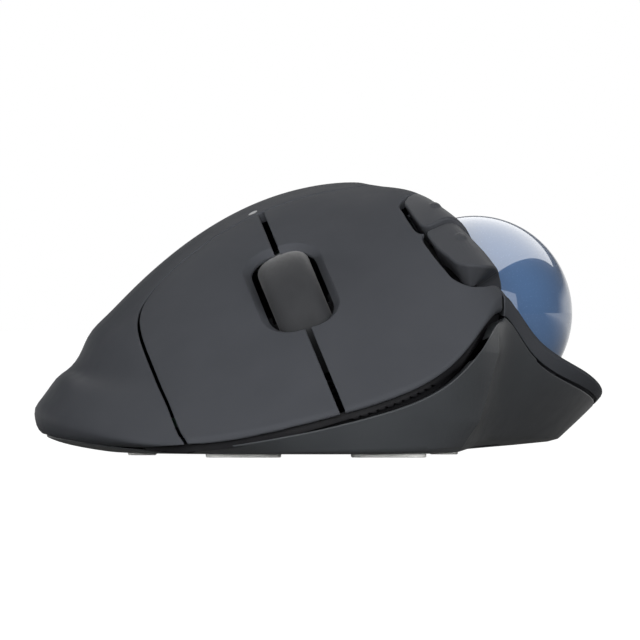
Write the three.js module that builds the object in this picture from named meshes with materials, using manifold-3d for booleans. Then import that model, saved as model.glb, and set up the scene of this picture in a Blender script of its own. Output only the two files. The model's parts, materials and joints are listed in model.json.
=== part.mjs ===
// A cordless thumb-operated trackball mouse for the right hand, as an assembly of its real pieces.
// Millimetres, +Z up. +X is the thumb side, -Y is the front, and the origin is on the desk under the
// middle of the case. Every piece is its own closed mesh.

import * as THREE from "three";
import { mergeVertices } from "three/addons/utils/BufferGeometryUtils.js";
import Module from "manifold-3d";

const wasm = await Module();
wasm.setup();

const at = (x, y, z) => new THREE.Vector3(x, y, z);

// ---------------------------------------------------------------- driving dimensions

const HEIGHT = 48;
const APEX = at(7, 4, HEIGHT); // the top of the dome
const FLOOR = 0.6; // underside of the case above the desk
const WALL = { x: 2.2, y: 2.4, z: 2.2 }; // the case's wall at its far sides
const GAP = 0.4; // clearance between two neighbouring pieces
const CROWN = 0.2; // the share of the way to the rim over which the dome's top is rounded
const COLUMNS = 48; // round the case, a multiple of the number of spokes

const ROLL = THREE.MathUtils.degToRad(22.5); // the whole deck leans this much to the little-finger side
const ACROSS = at(Math.cos(ROLL), 0, Math.sin(ROLL)); // along the wheel's axle
const UP = at(-Math.sin(ROLL), 0, Math.cos(ROLL)); // square to the axle
const BACK = at(0, 1, 0);
const Z = at(0, 0, 1);

const BALL = { at: at(27.2, -14, 24.9), radius: 17, clearance: 0.8 };
const CUP = { inner: 17.6, outer: 19.4, window: 3.4, eject: 4.5, bearing: 1.25, below: 1.7 };
const CUP_BEARINGS = [at(-0.984, 0, -0.165), at(0.122, 0.709, -0.693), at(0.122, -0.709, -0.693)];
const SENSOR_LOOKS = at(0.8, 0, 0.6); // from the sensor to the ball's middle

// Places on the deck are given across, back and up from the origin.
const WHEEL = { deck: at(6.8, -34.8, 22.6), radius: 12.6, crown: 0.8, width: 9.4, rim: 9.4 };
const WHEEL_SLOT = { width: 11.6, length: 21.2, corner: 4.6, back: -37.6 };
const AXLE = { radius: 1.5, length: 18 };
const CARRIAGE = { inner: 5.2, wall: 1.3, reach: 14.5, low: -9.6, high: -6.6, ear: 2.7 };
const SPLIT = 1; // the slit between the two main buttons
const HINGE = { back: -3, up: 34.9, radius: 1, from: -6.5, to: 22.5 };

const BOARD = { low: 5, thick: 1.6 };
const boardTop = BOARD.low + BOARD.thick;
const SWITCH = { size: at(12.8, 5.8, 6.5), nib: at(2.8, 1.6, 0.7) };
const LEFT_SWITCH = at(13, -47, 0);
const RIGHT_SWITCH = at(-14, -44.5, 0);
const MIDDLE_SWITCH = at(0.7, -19.8, 8.3);
const KEY_RISE = 1.035; // the side keys stand this much proud of the case
const KEY_LOW = 26; // the keys lie wholly above this
const KEY_GAP = 0.6;
const KEY_NIB = { radius: 1.1, tall: 0.8 };
const SIDE_SWITCH = at(6, 6, 3.4);
const FORWARD_SWITCH = at(23, -40.5, 22);
const BACK_SWITCH = at(11, -31.6, 29.4);

const BATTERY = { at: at(-18, 21, 10.6), radius: 7.2, length: 50.5 };
const DOOR = { low: at(-26.5, -7.5, 0), high: at(10.5, 46.8, 0), corner: 4 };
const RECEIVER = { at: at(0, 28, 6.4), cap: at(14.4, 6.8, 6.1), plug: at(12, 11.8, 4.5) };

const FEET = [
  { name: "foot_front_inner", at: at(12, -51.5, 0), size: [13, 6] },
  { name: "foot_front_outer", at: at(-13, -51.5, 0), size: [13, 6] },
  { name: "foot_finger_side", at: at(-31, 3, 0), size: [5, 16] },
  { name: "foot_thumb_side", at: at(22, 19, 0), size: [5, 16] },
  { name: "foot_rear", at: at(2, 53.2, 0), size: [24, 5] },
];
const FOOT = { thick: 0.85, pocket: 1 };
const CASE_SCREWS = [at(-32, -12, 0), at(-32.5, 30, 0), at(17, 45, 0), at(18.5, 14, 0)];
const BOARD_SCREWS = [at(-2, -54, 0), at(-15, -14, 0)];
const POWER = { at: at(-12, -32, 0), travel: 3 };
const CONNECT = { at: at(5, -36, 0), radius: 2 };

// ---------------------------------------------------------------- the outer surface

// Spokes round the case at even steps, from the front by way of the little-finger side:
// the rim's x, y and z, how full the dome above it is, how deep the thumb scoop and the finger
// flare are cut, how far and how sharply the skirt below the rim tucks under, and how far its foot
// stands above the flat sole.
const SPOKES = [
  { rim: [2, -67, 7.7], full: 1.72, scoop: 0, flare: 0, tuck: 3.5, curl: 1.6, lift: 0 },
  { rim: [-22.5, -61.5, 2.8], full: 1.72, scoop: 0, flare: 0, tuck: 6, curl: 2, lift: 0 },
  { rim: [-39, -42, 5], full: 1.9, scoop: 0, flare: 1.2, tuck: 10, curl: 3.5, lift: 0 },
  { rim: [-48.2, -17, 7.6], full: 2.05, scoop: 0, flare: 2.7, tuck: 13, curl: 4.5, lift: 0 },
  { rim: [-49.9, 9, 8.3], full: 2.08, scoop: 0, flare: 3, tuck: 14, curl: 4.5, lift: 0 },
  { rim: [-45.5, 34, 7.8], full: 2, scoop: 0, flare: 2.4, tuck: 12, curl: 4, lift: 0 },
  { rim: [-30.5, 55, 6.8], full: 2, scoop: 0, flare: 1, tuck: 9, curl: 3, lift: 0 },
  { rim: [-9, 65.8, 6], full: 1.95, scoop: 0, flare: 0.3, tuck: 8, curl: 3, lift: 0 },
  { rim: [13, 65.8, 6], full: 1.95, scoop: 0, flare: 0, tuck: 8, curl: 3, lift: 0 },
  { rim: [33, 54.5, 6.8], full: 1.85, scoop: 2, flare: 0, tuck: 12, curl: 2.4, lift: 0.8 },
  { rim: [45.5, 34, 8.8], full: 1.8, scoop: 8, flare: 0, tuck: 12, curl: 1.6, lift: 1.3 },
  { rim: [50, 9, 10.8], full: 1.95, scoop: 15, flare: 0, tuck: 8.5, curl: 1.15, lift: 1.7 },
  { rim: [46.5, -14, 14.8], full: 2.25, scoop: 18, flare: 0, tuck: 10, curl: 1.25, lift: 1.6 },
  { rim: [38, -32, 20.6], full: 2.6, scoop: 15, flare: 0, tuck: 11, curl: 1.5, lift: 1.3 },
  { rim: [31.8, -46, 27], full: 2.65, scoop: 0, flare: 0, tuck: 9, curl: 1.3, lift: 0.8 },
  { rim: [23, -60, 16.2], full: 2.3, scoop: 0, flare: 0, tuck: 5, curl: 1.4, lift: 0.2 },
];

// At each spoke, how far below the rim the upper shells end, the gap from there to the base, and the
// share of the way out to the skirt's foot over which the sole is flat.
const SHELL_DROP = [0.8, 0.5, 3, 4.2, 4.6, 4.4, 3.6, 3, 3, 2.4, 1.8, 1.4, 2.4, 3, 2.6, 0.9];
const BASE_GAP = [1.5, 1, 0.4, 0.4, 0.4, 0.4, 0.4, 0.4, 0.4, 0.4, 0.4, 0.4, 0.4, 0.4, 1.1, 2];
const SOLE_SHARE = [
  0.86, 0.86, 0.86, 0.86, 0.86, 0.86, 0.86, 0.86, 0.86, 0.8, 0.65, 0.5, 0.5, 0.6, 0.75, 0.86,
];

const SKIRT_STEPS = [1, 0.85, 0.65, 0.45, 0.25, 0.1]; // down the skirt, 1 at the underside
const DOME_STEPS = [0, 0.04, 0.08, 0.12, 0.16, 0.21, 0.3, 0.4, 0.52, 0.66, 0.82]; // rim to apex

// The two main buttons together, seen from above. The front runs out past the case.
const PLATE = [
  [-22.6, -61.5], [-24, -58], [-26, -50.7], [-28, -42.9], [-30, -34.3], [-31, -28.3], [-31.3, -23.1],
  [-30.5, -18.8], [-28, -15.8], [-25, -14.2], [-20, -12.4], [-15, -11.2], [-10, -10.2], [-5, -9],
  [0, -7.6], [5, -6.4], [10, -5.6], [15, -6], [20, -8], [24, -14], [24, -22], [24, -33], [27.5, -40.5],
  [33, -43.6],
  [45, -46], [46, -72], [10, -76], [-20, -74],
];
const BACK_KEY = [
  [14.9, -22.3], [15.5, -25.5], [16.6, -29.5], [18.1, -33], [20, -33.7], [23, -32.9], [27.8, -30.4],
  [31, -28], [29, -21], [24.5, -19.4], [19, -20], [16.2, -20.6],
];
const FORWARD_KEY = [
  [18.8, -34.6], [20.1, -38.6], [22.2, -42.6], [24, -45.2], [26.4, -46.2], [28.8, -45.2], [30.4, -42.4],
  [31.2, -38.6], [31.6, -34.6], [30.4, -31.6], [27.9, -30.9], [23.6, -33.3], [20.3, -34.5],
];

// A smooth closed curve through evenly spaced values: the control values of a uniform cubic
// B-spline are relaxed until the curve passes through all of them.
function throughLoop(values) {
  const n = values.length;
  const control = [...values];
  for (let pass = 0; pass < 40; pass++) {
    for (let i = 0; i < n; i++) {
      const here = (control[(i + n - 1) % n] + 4 * control[i] + control[(i + 1) % n]) / 6;
      control[i] += values[i] - here;
    }
  }
  return (turn) => {
    const along = (turn - Math.floor(turn)) * n;
    const i = Math.floor(along);
    const t = along - i;
    const p = (k) => control[(i + k + n) % n];
    const spread = (1 - t) ** 3 * p(-1) + (3 * t ** 3 - 6 * t * t + 4) * p(0);
    return (spread + (-3 * t ** 3 + 3 * t * t + 3 * t + 1) * p(1) + t ** 3 * p(2)) / 6;
  };
}

const rimX = throughLoop(SPOKES.map((s) => s.rim[0]));
const rimY = throughLoop(SPOKES.map((s) => s.rim[1]));
const rimZ = throughLoop(SPOKES.map((s) => s.rim[2]));
const fullness = throughLoop(SPOKES.map((s) => s.full));
const scoopDepth = throughLoop(SPOKES.map((s) => s.scoop));
const flareDepth = throughLoop(SPOKES.map((s) => s.flare));
const tuckWidth = throughLoop(SPOKES.map((s) => s.tuck));
const tuckCurl = throughLoop(SPOKES.map((s) => s.curl));
const footLift = throughLoop(SPOKES.map((s) => s.lift));
const shellDrop = throughLoop(SHELL_DROP);
const baseGap = throughLoop(BASE_GAP);
const soleShare = throughLoop(SOLE_SHARE);

// The dome from the rim, at 0, to the apex, at 1.
function domePoint(turn, f) {
  const power = fullness(turn);
  const fall = (r) => (r * r + CROWN * CROWN) ** (power / 2) - CROWN ** power;
  const z = HEIGHT - ((HEIGHT - rimZ(turn)) * fall(1 - f)) / fall(1);
  const scoop = scoopDepth(turn) * 6.75 * f * (1 - f) ** 2;
  const flare = flareDepth(turn) * Math.exp(-(((f - 0.12) / 0.038) ** 2));
  const x = THREE.MathUtils.lerp(rimX(turn), APEX.x, f);
  return at(x, THREE.MathUtils.lerp(rimY(turn), APEX.y, f), z - scoop - flare);
}

// The skirt from the rim, at 0, down to its foot, at 1.
function skirtPoint(turn, s) {
  const rim = at(rimX(turn), rimY(turn), 0);
  const inset = tuckWidth(turn) * s ** tuckCurl(turn);
  const p = rim.multiplyScalar(1 - inset / rim.length());
  return p.setZ(THREE.MathUtils.lerp(rimZ(turn), FLOOR + Math.max(0, footLift(turn)), s));
}

// The edge of the flat sole, a little inside the skirt's foot.
const solePoint = (turn) => skirtPoint(turn, 1).multiplyScalar(soleShare(turn)).setZ(FLOOR);

const turnsOf = (count) => Array.from({ length: count }, (_, i) => i / count);

// ---------------------------------------------------------------- solids

// One closed geometry over a stack of rings with equal counts of points, its two ends closed by fans.
// The rings run clockwise from above and the stack goes up.
function skin(rings, bottom, top) {
  const n = rings[0].length;
  const points = [...rings.flat(), bottom, top];
  const faces = [];
  const low = points.length - 2;
  for (let i = 0; i < n; i++) {
    const j = (i + 1) % n;
    for (let r = 0; r + 1 < rings.length; r++) {
      const [a, b, c, d] = [r * n + i, r * n + j, (r + 1) * n + i, (r + 1) * n + j];
      faces.push(a, c, b, b, c, d);
    }
    const last = (rings.length - 1) * n;
    faces.push(low, i, j, low + 1, last + j, last + i);
  }
  const geometry = new THREE.BufferGeometry().setFromPoints(points);
  geometry.setIndex(faces);
  return geometry;
}

function solid(geometry) {
  const g = geometry.clone();
  g.deleteAttribute("normal");
  g.deleteAttribute("uv");
  const merged = mergeVertices(g, 1e-4);
  return new wasm.Manifold(
    new wasm.Mesh({
      numProp: 3,
      vertProperties: new Float32Array(merged.attributes.position.array),
      triVerts: new Uint32Array(merged.index.array),
    }),
  );
}

const union = (shapes) => shapes.reduce((all, s) => all.add(s));
const cutAll = (shape, cutters) => cutters.reduce((left, c) => left.subtract(c), shape);
const moved = (shape, where) => shape.translate([where.x, where.y, where.z]);

// Turns a shape so that its own +Z lies along a direction, and puts it somewhere.
function facing(shape, along, where, side = BACK) {
  const z = along.clone().normalize();
  const x = at(0, 0, 0).crossVectors(side, z).normalize();
  const m = new THREE.Matrix4().makeBasis(x, at(0, 0, 0).crossVectors(z, x), z);
  return shape.transform(m.setPosition(where).elements);
}

const deck = new THREE.Matrix4().makeBasis(ACROSS, BACK, UP);
const onDeck = (across, back, up) => at(across, back, up).applyMatrix4(deck);
const laidOnDeck = (shape, across, back, up) => moved(shape, at(across, back, up)).transform(deck.elements);

const block = (x, y, z) => solid(new THREE.BoxGeometry(x, y, z));
const sphere = (radius, around = 20) => solid(new THREE.SphereGeometry(radius, around, around / 2));

function span(low, high) {
  const size = high.clone().sub(low);
  return moved(block(size.x, size.y, size.z), low.clone().add(high).multiplyScalar(0.5));
}

// A round bar along +Z from one height to another.
function bar(radius, from, to, around = 20) {
  const tall = to - from;
  const g = new THREE.CylinderGeometry(radius, radius, tall, around).rotateX(Math.PI / 2);
  return solid(g.translate(0, 0, from + tall / 2));
}

// A body of revolution about +Z from pairs of radius and height, first and last on the axis or closed.
function turned(profile, around = 24) {
  const points = profile.map(([r, h]) => new THREE.Vector2(r, h));
  return solid(new THREE.LatheGeometry(points, around).rotateX(Math.PI / 2));
}

function prism(shape, from, to, curveSegments = 3) {
  const options = { depth: to - from, bevelEnabled: false, curveSegments };
  return solid(new THREE.ExtrudeGeometry(shape, options).translate(0, 0, from));
}

function roundRect(width, depth, corner) {
  const [w, d, r] = [width / 2, depth / 2, corner];
  const s = new THREE.Shape();
  s.moveTo(-w + r, -d).lineTo(w - r, -d).absarc(w - r, -d + r, r, -Math.PI / 2, 0);
  s.lineTo(w, d - r).absarc(w - r, d - r, r, 0, Math.PI / 2);
  s.lineTo(-w + r, d).absarc(-w + r, d - r, r, Math.PI / 2, Math.PI);
  s.lineTo(-w, -d + r).absarc(-w + r, -d + r, r, Math.PI, 1.5 * Math.PI);
  return s;
}

// A smooth closed outline through plan points, moved outward by a margin, from a height to well above
// the dome.
function column(points, margin, samples, from = -10) {
  const curve = new THREE.CatmullRomCurve3(points.map(([x, y]) => at(x, y, 0)), true, "centripetal");
  const loop = curve.getSpacedPoints(samples).slice(0, samples);
  const turning = THREE.ShapeUtils.area(loop) > 0 ? 1 : -1;
  const grown = loop.map((p, i) => {
    const along = loop[(i + 1) % samples].clone().sub(loop[(i + samples - 1) % samples]).normalize();
    return new THREE.Vector2(p.x + along.y * margin * turning, p.y - along.x * margin * turning);
  });
  return prism(new THREE.Shape(grown), from, 80);
}

// A wire along a curve.
function wire(curve, radius, steps) {
  const round = new THREE.Shape().absarc(0, 0, radius, 0, 2 * Math.PI);
  return solid(new THREE.ExtrudeGeometry(round, { steps, extrudePath: curve, curveSegments: 2 }));
}

class Coil extends THREE.Curve {
  constructor(radiusAt, length, turns) {
    super();
    Object.assign(this, { radiusAt, length, turns });
  }
  getPoint(t) {
    const a = 2 * Math.PI * this.turns * t;
    const r = this.radiusAt(t);
    return at(r * Math.cos(a), r * Math.sin(a), this.length * t);
  }
  getLength() {
    return this.length;
  }
}

// ---------------------------------------------------------------- finishes and pieces

const FINISH = {
  case: { color: "#4b4d51", roughness: 0.5, metalness: 0 },
  base: { color: "#434548", roughness: 0.52, metalness: 0 },
  key: { color: "#45474a", roughness: 0.45, metalness: 0 },
  rubber: { color: "#4a4c4f", roughness: 0.75, metalness: 0 },
  ball: { color: "#2f4f80", roughness: 0.12, metalness: 0 },
  innards: { color: "#2a2b2d", roughness: 0.6, metalness: 0 },
  steel: { color: "#b9bcc0", roughness: 0.3, metalness: 1 },
  bearing: { color: "#e9e4da", roughness: 0.2, metalness: 0 },
  board: { color: "#1d4d35", roughness: 0.45, metalness: 0 },
  lens: { color: "#e8eef2", roughness: 0.05, metalness: 0 },
  foot: { color: "#c9c9c6", roughness: 0.35, metalness: 0 },
  nib: { color: "#b0372f", roughness: 0.4, metalness: 0 },
  cell: { color: "#31507a", roughness: 0.35, metalness: 0.2 },
};

const group = new THREE.Group();
function piece(name, shape, finish) {
  const m = shape.asOriginal().simplify(0.02).getMesh();
  const g = new THREE.BufferGeometry();
  g.setAttribute("position", new THREE.BufferAttribute(m.vertProperties, 3));
  g.setIndex(new THREE.BufferAttribute(m.triVerts, 1));
  const mesh = new THREE.Mesh(g, new THREE.MeshStandardMaterial(FINISH[finish]));
  mesh.name = name;
  group.add(mesh);
}

// ---------------------------------------------------------------- the case as a whole

function bodyRings(columns, skip) {
  const turns = turnsOf(columns);
  const keep = (_, i) => i % skip === 0;
  return [
    turns.map(solePoint),
    ...SKIRT_STEPS.filter(keep).map((s) => turns.map((t) => skirtPoint(t, s))),
    ...DOME_STEPS.filter(keep).map((f) => turns.map((t) => domePoint(t, f))),
  ];
}

const MIDDLE = (HEIGHT + FLOOR) / 2;
const outside = skin(bodyRings(COLUMNS, 1), at(0, 0, FLOOR), APEX);
const inside = skin(bodyRings(COLUMNS / 2, 2), at(0, 0, FLOOR), APEX);

// The body scaled about its middle.
function scaledBody(geometry, x, y, z) {
  const g = geometry.clone().translate(0, 0, -MIDDLE);
  return solid(g.scale(x, y, z).translate(0, 0, MIDDLE));
}

const body = solid(outside);

// The room inside the case, a little further in than the wall's own thickness.
function room(extra) {
  const z = 1 - (2 * (WALL.z + extra)) / HEIGHT;
  const smaller = scaledBody(inside, 1 - (WALL.x + extra) / 50, 1 - (WALL.y + extra) / 67, z);
  return smaller.intersect(moved(solid(inside), at(0, 0, -WALL.z - extra)));
}
const shell = body.subtract(room(0));
const clearInside = room(0.5);
const ballRoom = moved(sphere(BALL.radius + BALL.clearance, 30), BALL.at);

// Everything above a seam that runs round the skirt, widening outward from the case's middle.
function above(drop) {
  const middle = at(0, 0, 9);
  const seam = turnsOf(COLUMNS).map((t) => {
    const p = skirtPoint(t, drop(t) / (rimZ(t) - FLOOR - Math.max(0, footLift(t))));
    return p.sub(middle).multiplyScalar(1.3).add(middle);
  });
  return solid(skin([seam, seam.map((p) => p.clone().setZ(80))], middle, at(0, 0, 80)));
}

const upper = above(shellDrop);
const keyRoomOf = (outline) => column(outline, KEY_GAP, 28, KEY_LOW - 4);
const keyRoom = keyRoomOf(BACK_KEY).add(keyRoomOf(FORWARD_KEY));

// ---------------------------------------------------------------- upper shells and keys

// A bored block hanging from the palm shell at one end of the hinge pin.
function hingeLug(across) {
  const lug = laidOnDeck(span(at(-0.9, -2, -2.2), at(0.9, 2.2, 20)), across, HINGE.back, HINGE.up);
  return lug.intersect(body);
}

function screwPost(where) {
  return moved(bar(2.3, 8.6, 60, 16), where).intersect(body);
}

function makePalm() {
  const grownPlate = column(PLATE, GAP, 60);
  const cover = cutAll(shell.intersect(upper), [grownPlate, keyRoom, ballRoom]);
  const lugs = [hingeLug(HINGE.from + 1), hingeLug(HINGE.to - 1)];
  const posts = CASE_SCREWS.map(screwPost);
  const pinRoom = laidOnDeck(hingeBar(HINGE.radius + 0.06), 0, HINGE.back, HINGE.up);
  const holes = CASE_SCREWS.map((p) => moved(bar(1.05, 8, 20, 12), p));
  const light = moved(bar(1, 36, 60, 12), at(-11.6, -8.2, 0));
  return cutAll(union([cover, ...lugs, ...posts]), [pinRoom, light, ...holes]);
}

// A bar along the deck's across direction over the hinge's length.
function hingeBar(radius, from = HINGE.from - 2, to = HINGE.to + 2) {
  return facing(bar(radius, from, to, 16), at(1, 0, 0), at(0, 0, 0));
}

// The arm that carries a main button on the hinge pin, reaching forward and up into the plate.
function buttonArm(from, to, plateBody) {
  const side = new THREE.Shape([
    [2, -1.4], [2, 0.6], [0.6, 1.9], [-9, 2.4], [-11, 12], [-15, 12], [-15, -0.6], [-9, -1.4], [0, -2],
  ].map(([b, u]) => new THREE.Vector2(b, u)));
  const upright = new THREE.Matrix4().makeBasis(at(0, 1, 0), at(0, 0, 1), at(1, 0, 0));
  const arm = prism(side, from, to).transform(upright.elements);
  const placed = laidOnDeck(arm, 0, HINGE.back, HINGE.up);
  return placed.intersect(clearInside.add(plateBody));
}

function makeButton(name, sideOfSplit, armFrom, armTo, post) {
  const [near, far] = sideOfSplit > 0 ? [SPLIT / 2, 90] : [-90, -SPLIT / 2];
  const half = laidOnDeck(span(at(near, -90, -60), at(far, 40, 90)), WHEEL.deck.x, 0, 0);
  const plateBody = body.intersect(column(PLATE, 0, 60)).intersect(upper);
  const slot = roundRect(WHEEL_SLOT.width, WHEEL_SLOT.length, WHEEL_SLOT.corner);
  const slotRoom = laidOnDeck(prism(slot, 12, 60), WHEEL.deck.x, WHEEL_SLOT.back, 0);
  const pinRoom = laidOnDeck(hingeBar(HINGE.radius + 0.06), 0, HINGE.back, HINGE.up);
  const skinPart = shell.intersect(plateBody).subtract(keyRoom);
  const arm = buttonArm(armFrom, armTo, plateBody);
  const foot = moved(bar(1.8, switchTop() + 0.1, 60, 12), post).intersect(plateBody);
  const whole = union([skinPart, arm, foot]).intersect(half);
  piece(name, cutAll(whole, [slotRoom, pinRoom, ballRoom]), "case");
}

// A side key: a thick proud patch of the case with a reach down to its switch.
function makeKey(name, outline, reach) {
  const proud = scaledBody(outside, KEY_RISE, KEY_RISE, KEY_RISE);
  const under = room(0.6);
  const patch = proud.subtract(under).intersect(column(outline, 0, 28, KEY_LOW));
  const ballSide = moved(sphere(BALL.radius + BALL.clearance + 0.3, 30), BALL.at);
  piece(name, patch.add(reach.intersect(proud)).subtract(ballSide), "key");
}

const nibTop = (where) => where.z + SIDE_SWITCH.z / 2 + KEY_NIB.tall + 0.1;

// The back key's switch lies beyond the ball's cup, so an arm runs out to it under the main button.
function backReach() {
  const [low, p] = [nibTop(BACK_SWITCH), BACK_SWITCH];
  const arm = span(at(p.x - 1.6, p.y - 1, low), at(18.9, p.y + 1, low + 1.6));
  return arm.add(span(at(17.3, p.y - 1, low), at(18.9, p.y + 1, 60)));
}

const switchTop = () => boardTop + SWITCH.size.z + SWITCH.nib.z;
piece("palm_shell", makePalm(), "case");
makeButton("left_button", 1, 8.2, 19.6, LEFT_SWITCH);
makeButton("right_button", -1, -3.8, 5.4, RIGHT_SWITCH);
makeKey("back_button", BACK_KEY, backReach());
makeKey("forward_button", FORWARD_KEY, moved(bar(1.5, nibTop(FORWARD_SWITCH), 60, 12), at(23, -40.5, 0)));
const pin = hingeBar(HINGE.radius, HINGE.from, HINGE.to);
piece("hinge_pin", laidOnDeck(pin, 0, HINGE.back, HINGE.up), "steel");
const lightPipe = moved(bar(0.8, 41, 60, 12), at(-11.6, -8.2, 0)).intersect(body);
piece("status_light", lightPipe, "lens");

// ---------------------------------------------------------------- the base

const onFloor = FLOOR + WALL.z;

// A hollow boss that sinks a case screw's head deep in the base.
function screwBoss(where) {
  return moved(bar(3.4, onFloor - 1, 8.2, 16), where);
}

function batteryBay() {
  const [front, rear] = [BATTERY.at.y - BATTERY.length / 2, BATTERY.at.y + BATTERY.length / 2];
  const [inner, thumb, cross] = [DOOR.low.x, DOOR.high.x + 1, RECEIVER.at.y - 10.6];
  return [
    span(at(inner, front - 5.6, onFloor - 1), at(1, front - 4.4, 12)),
    span(at(inner + 3, rear + 1.2, onFloor - 1), at(thumb + 1.2, rear + 2.4, 12)),
    span(at(-9.6, front - 5, 4), at(-8.4, rear + 2, 11)),
    span(at(thumb, cross - 3, onFloor - 1), at(thumb + 1.2, rear + 2, 11)),
    span(at(-9, cross, 4), at(thumb + 0.6, cross + 1.2, 10)),
  ];
}

function doorOutline(margin) {
  const size = DOOR.high.clone().sub(DOOR.low);
  const middle = DOOR.low.clone().add(DOOR.high).multiplyScalar(0.5);
  const shape = roundRect(size.x + 2 * margin, size.y + 2 * margin, DOOR.corner + margin);
  return moved(prism(shape, -5, 3.6), middle);
}

function makeBase() {
  const tub = shell.subtract(above((t) => shellDrop(t) + baseGap(t)));
  const bosses = CASE_SCREWS.map(screwBoss);
  const standoffs = BOARD_SCREWS.map((p) => moved(bar(2.4, onFloor - 1, BOARD.low, 16), p));
  const towers = [FORWARD_SWITCH, BACK_SWITCH].map((p) =>
    span(at(p.x - 2.4, p.y - 2.4, onFloor - 1), at(p.x + 2.4, p.y + 2.4, p.z - SIDE_SWITCH.z / 2 - 0.02)),
  );
  const cupLegs = [at(31, -6, 0), at(31, -22, 0)].map((p) => moved(bar(2, onFloor - 1, 9, 12), p));
  const pocketOf = ([w, d]) => prism(roundRect(w + 0.5, d + 0.5, 2.6), -1, FOOT.pocket, 2);
  const pockets = FEET.map((f) => moved(pocketOf(f.size), f.at));
  const screws = CASE_SCREWS.flatMap((p) => [moved(bar(2.5, -1, 6, 16), p), moved(bar(1.25, 5, 9, 12), p)]);
  const pilots = BOARD_SCREWS.map((p) => moved(bar(0.95, 2.9, 8, 12), p));
  const eject = moved(bar(CUP.eject, -5, 12, 20), at(BALL.at.x, BALL.at.y, 0));
  const power = moved(prism(roundRect(POWER.travel + 6.8, 4.4, 1.2), -5, 5), POWER.at);
  const connect = moved(bar(CONNECT.radius + 0.3, -5, 5, 20), CONNECT.at);
  const whole = union([tub, ...bosses, ...standoffs, ...batteryBay(), ...towers, ...cupLegs]);
  const cupRoom = moved(sphere(CUP.outer + 0.25, 24), BALL.at);
  const cuts = [...pockets, ...screws, ...pilots, eject, power, connect, doorOutline(0.35), cupRoom];
  return cutAll(whole.intersect(body), cuts);
}

piece("bottom_case", makeBase(), "base");
piece("battery_door", shell.intersect(doorOutline(0)), "base");

for (const foot of FEET) {
  piece(foot.name, moved(prism(roundRect(...foot.size, 2.4), 0, FOOT.thick, 2), foot.at), "foot");
}

const headOf = (r, tall) => [[0, 0], [r * 0.8, 0], [r, 0.35], [r, tall], [0.95, tall]];
CASE_SCREWS.forEach((p, i) => {
  const whole = turned([...headOf(2.1, 1.5), [0.95, 11.2], [0.4, 12.2], [0, 12.2]], 10);
  const cross = block(2.4, 0.6, 1.6).add(block(0.6, 2.4, 1.6));
  piece(`case_screw_${i + 1}`, moved(whole.subtract(cross), p.clone().setZ(4.3)), "steel");
});
BOARD_SCREWS.forEach((p, i) => {
  const whole = turned([[0, 0], [0.8, 0], [0.8, 3.5], [1.7, 3.5], [1.7, 4.3], [1.3, 4.7], [0, 4.7]], 12);
  const cross = moved(block(2, 0.5, 1).add(block(0.5, 2, 1)), at(0, 0, 4.7));
  const tip = p.clone().setZ(boardTop - 3.5 + 0.02);
  piece(`board_screw_${i + 1}`, moved(whole.subtract(cross), tip), "steel");
});

function makePowerKnob() {
  const knob = prism(roundRect(6.4, 3.8, 1), 0.75, 3.2).add(span(at(-6.6, -3.2, 3.1), at(6.6, 3.2, 4.1)));
  const grips = [-1.6, 0, 1.6].map((x) => span(at(x - 0.3, -1.3, 0), at(x + 0.3, 1.3, 1.1)));
  return moved(cutAll(knob, grips), POWER.at.clone().setX(POWER.at.x - POWER.travel / 2));
}
piece("power_switch", makePowerKnob(), "key");
const connectKnob = bar(CONNECT.radius, 0.8, 3.2, 20).add(bar(3, 3.1, 3.9, 20));
piece("connect_button", moved(connectKnob, CONNECT.at), "key");

// ---------------------------------------------------------------- ball, cup and sensor

piece("trackball", moved(sphere(BALL.radius, 28), BALL.at), "ball");

function makeCup() {
  const wall = sphere(CUP.outer, 20).subtract(sphere(CUP.inner, 20));
  const seats = CUP_BEARINGS.map((d) => facing(bar(CUP.bearing + 0.05, 10, 30, 14), d, at(0, 0, 0)));
  const window = facing(bar(CUP.window, 10, 30, 20), SENSOR_LOOKS.clone().negate(), at(0, 0, 0));
  const eject = bar(CUP.eject, -30, -10, 20);
  const open = moved(cutAll(wall, [...seats, window, eject]), BALL.at);
  return open.intersect(room(CUP.below));
}
piece("ball_cup", makeCup(), "innards");

CUP_BEARINGS.forEach((d, i) => {
  const where = BALL.at.clone().addScaledVector(d.clone().normalize(), BALL.radius + 0.12 + CUP.bearing);
  piece(`support_bearing_${i + 1}`, moved(sphere(CUP.bearing, 10), where), "bearing");
});

// A shape drawn behind the cup on the sensor's line of sight, its +Z pointing at the ball.
const behindBall = (shape, distance) =>
  facing(shape, SENSOR_LOOKS, BALL.at.clone().addScaledVector(SENSOR_LOOKS, -distance));
const lens = bar(2.6, 0, 3.2, 20).add(span(at(-4, -4, -1), at(4, 4, 0.02)));
piece("sensor_lens", behindBall(lens, 21.2), "lens");
piece("optical_sensor", behindBall(span(at(-4.4, -5, -2), at(4.4, 5, 0)), 22.3), "innards");
piece("sensor_board", behindBall(prism(roundRect(11.4, 13, 1), -1.2, 0, 2), 24.4), "board");

// ---------------------------------------------------------------- wheel

const W = WHEEL.deck;
const wheelPart = (shape) => laidOnDeck(facing(shape, at(1, 0, 0), at(0, 0, 0)), W.x, W.y, W.z);

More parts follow.
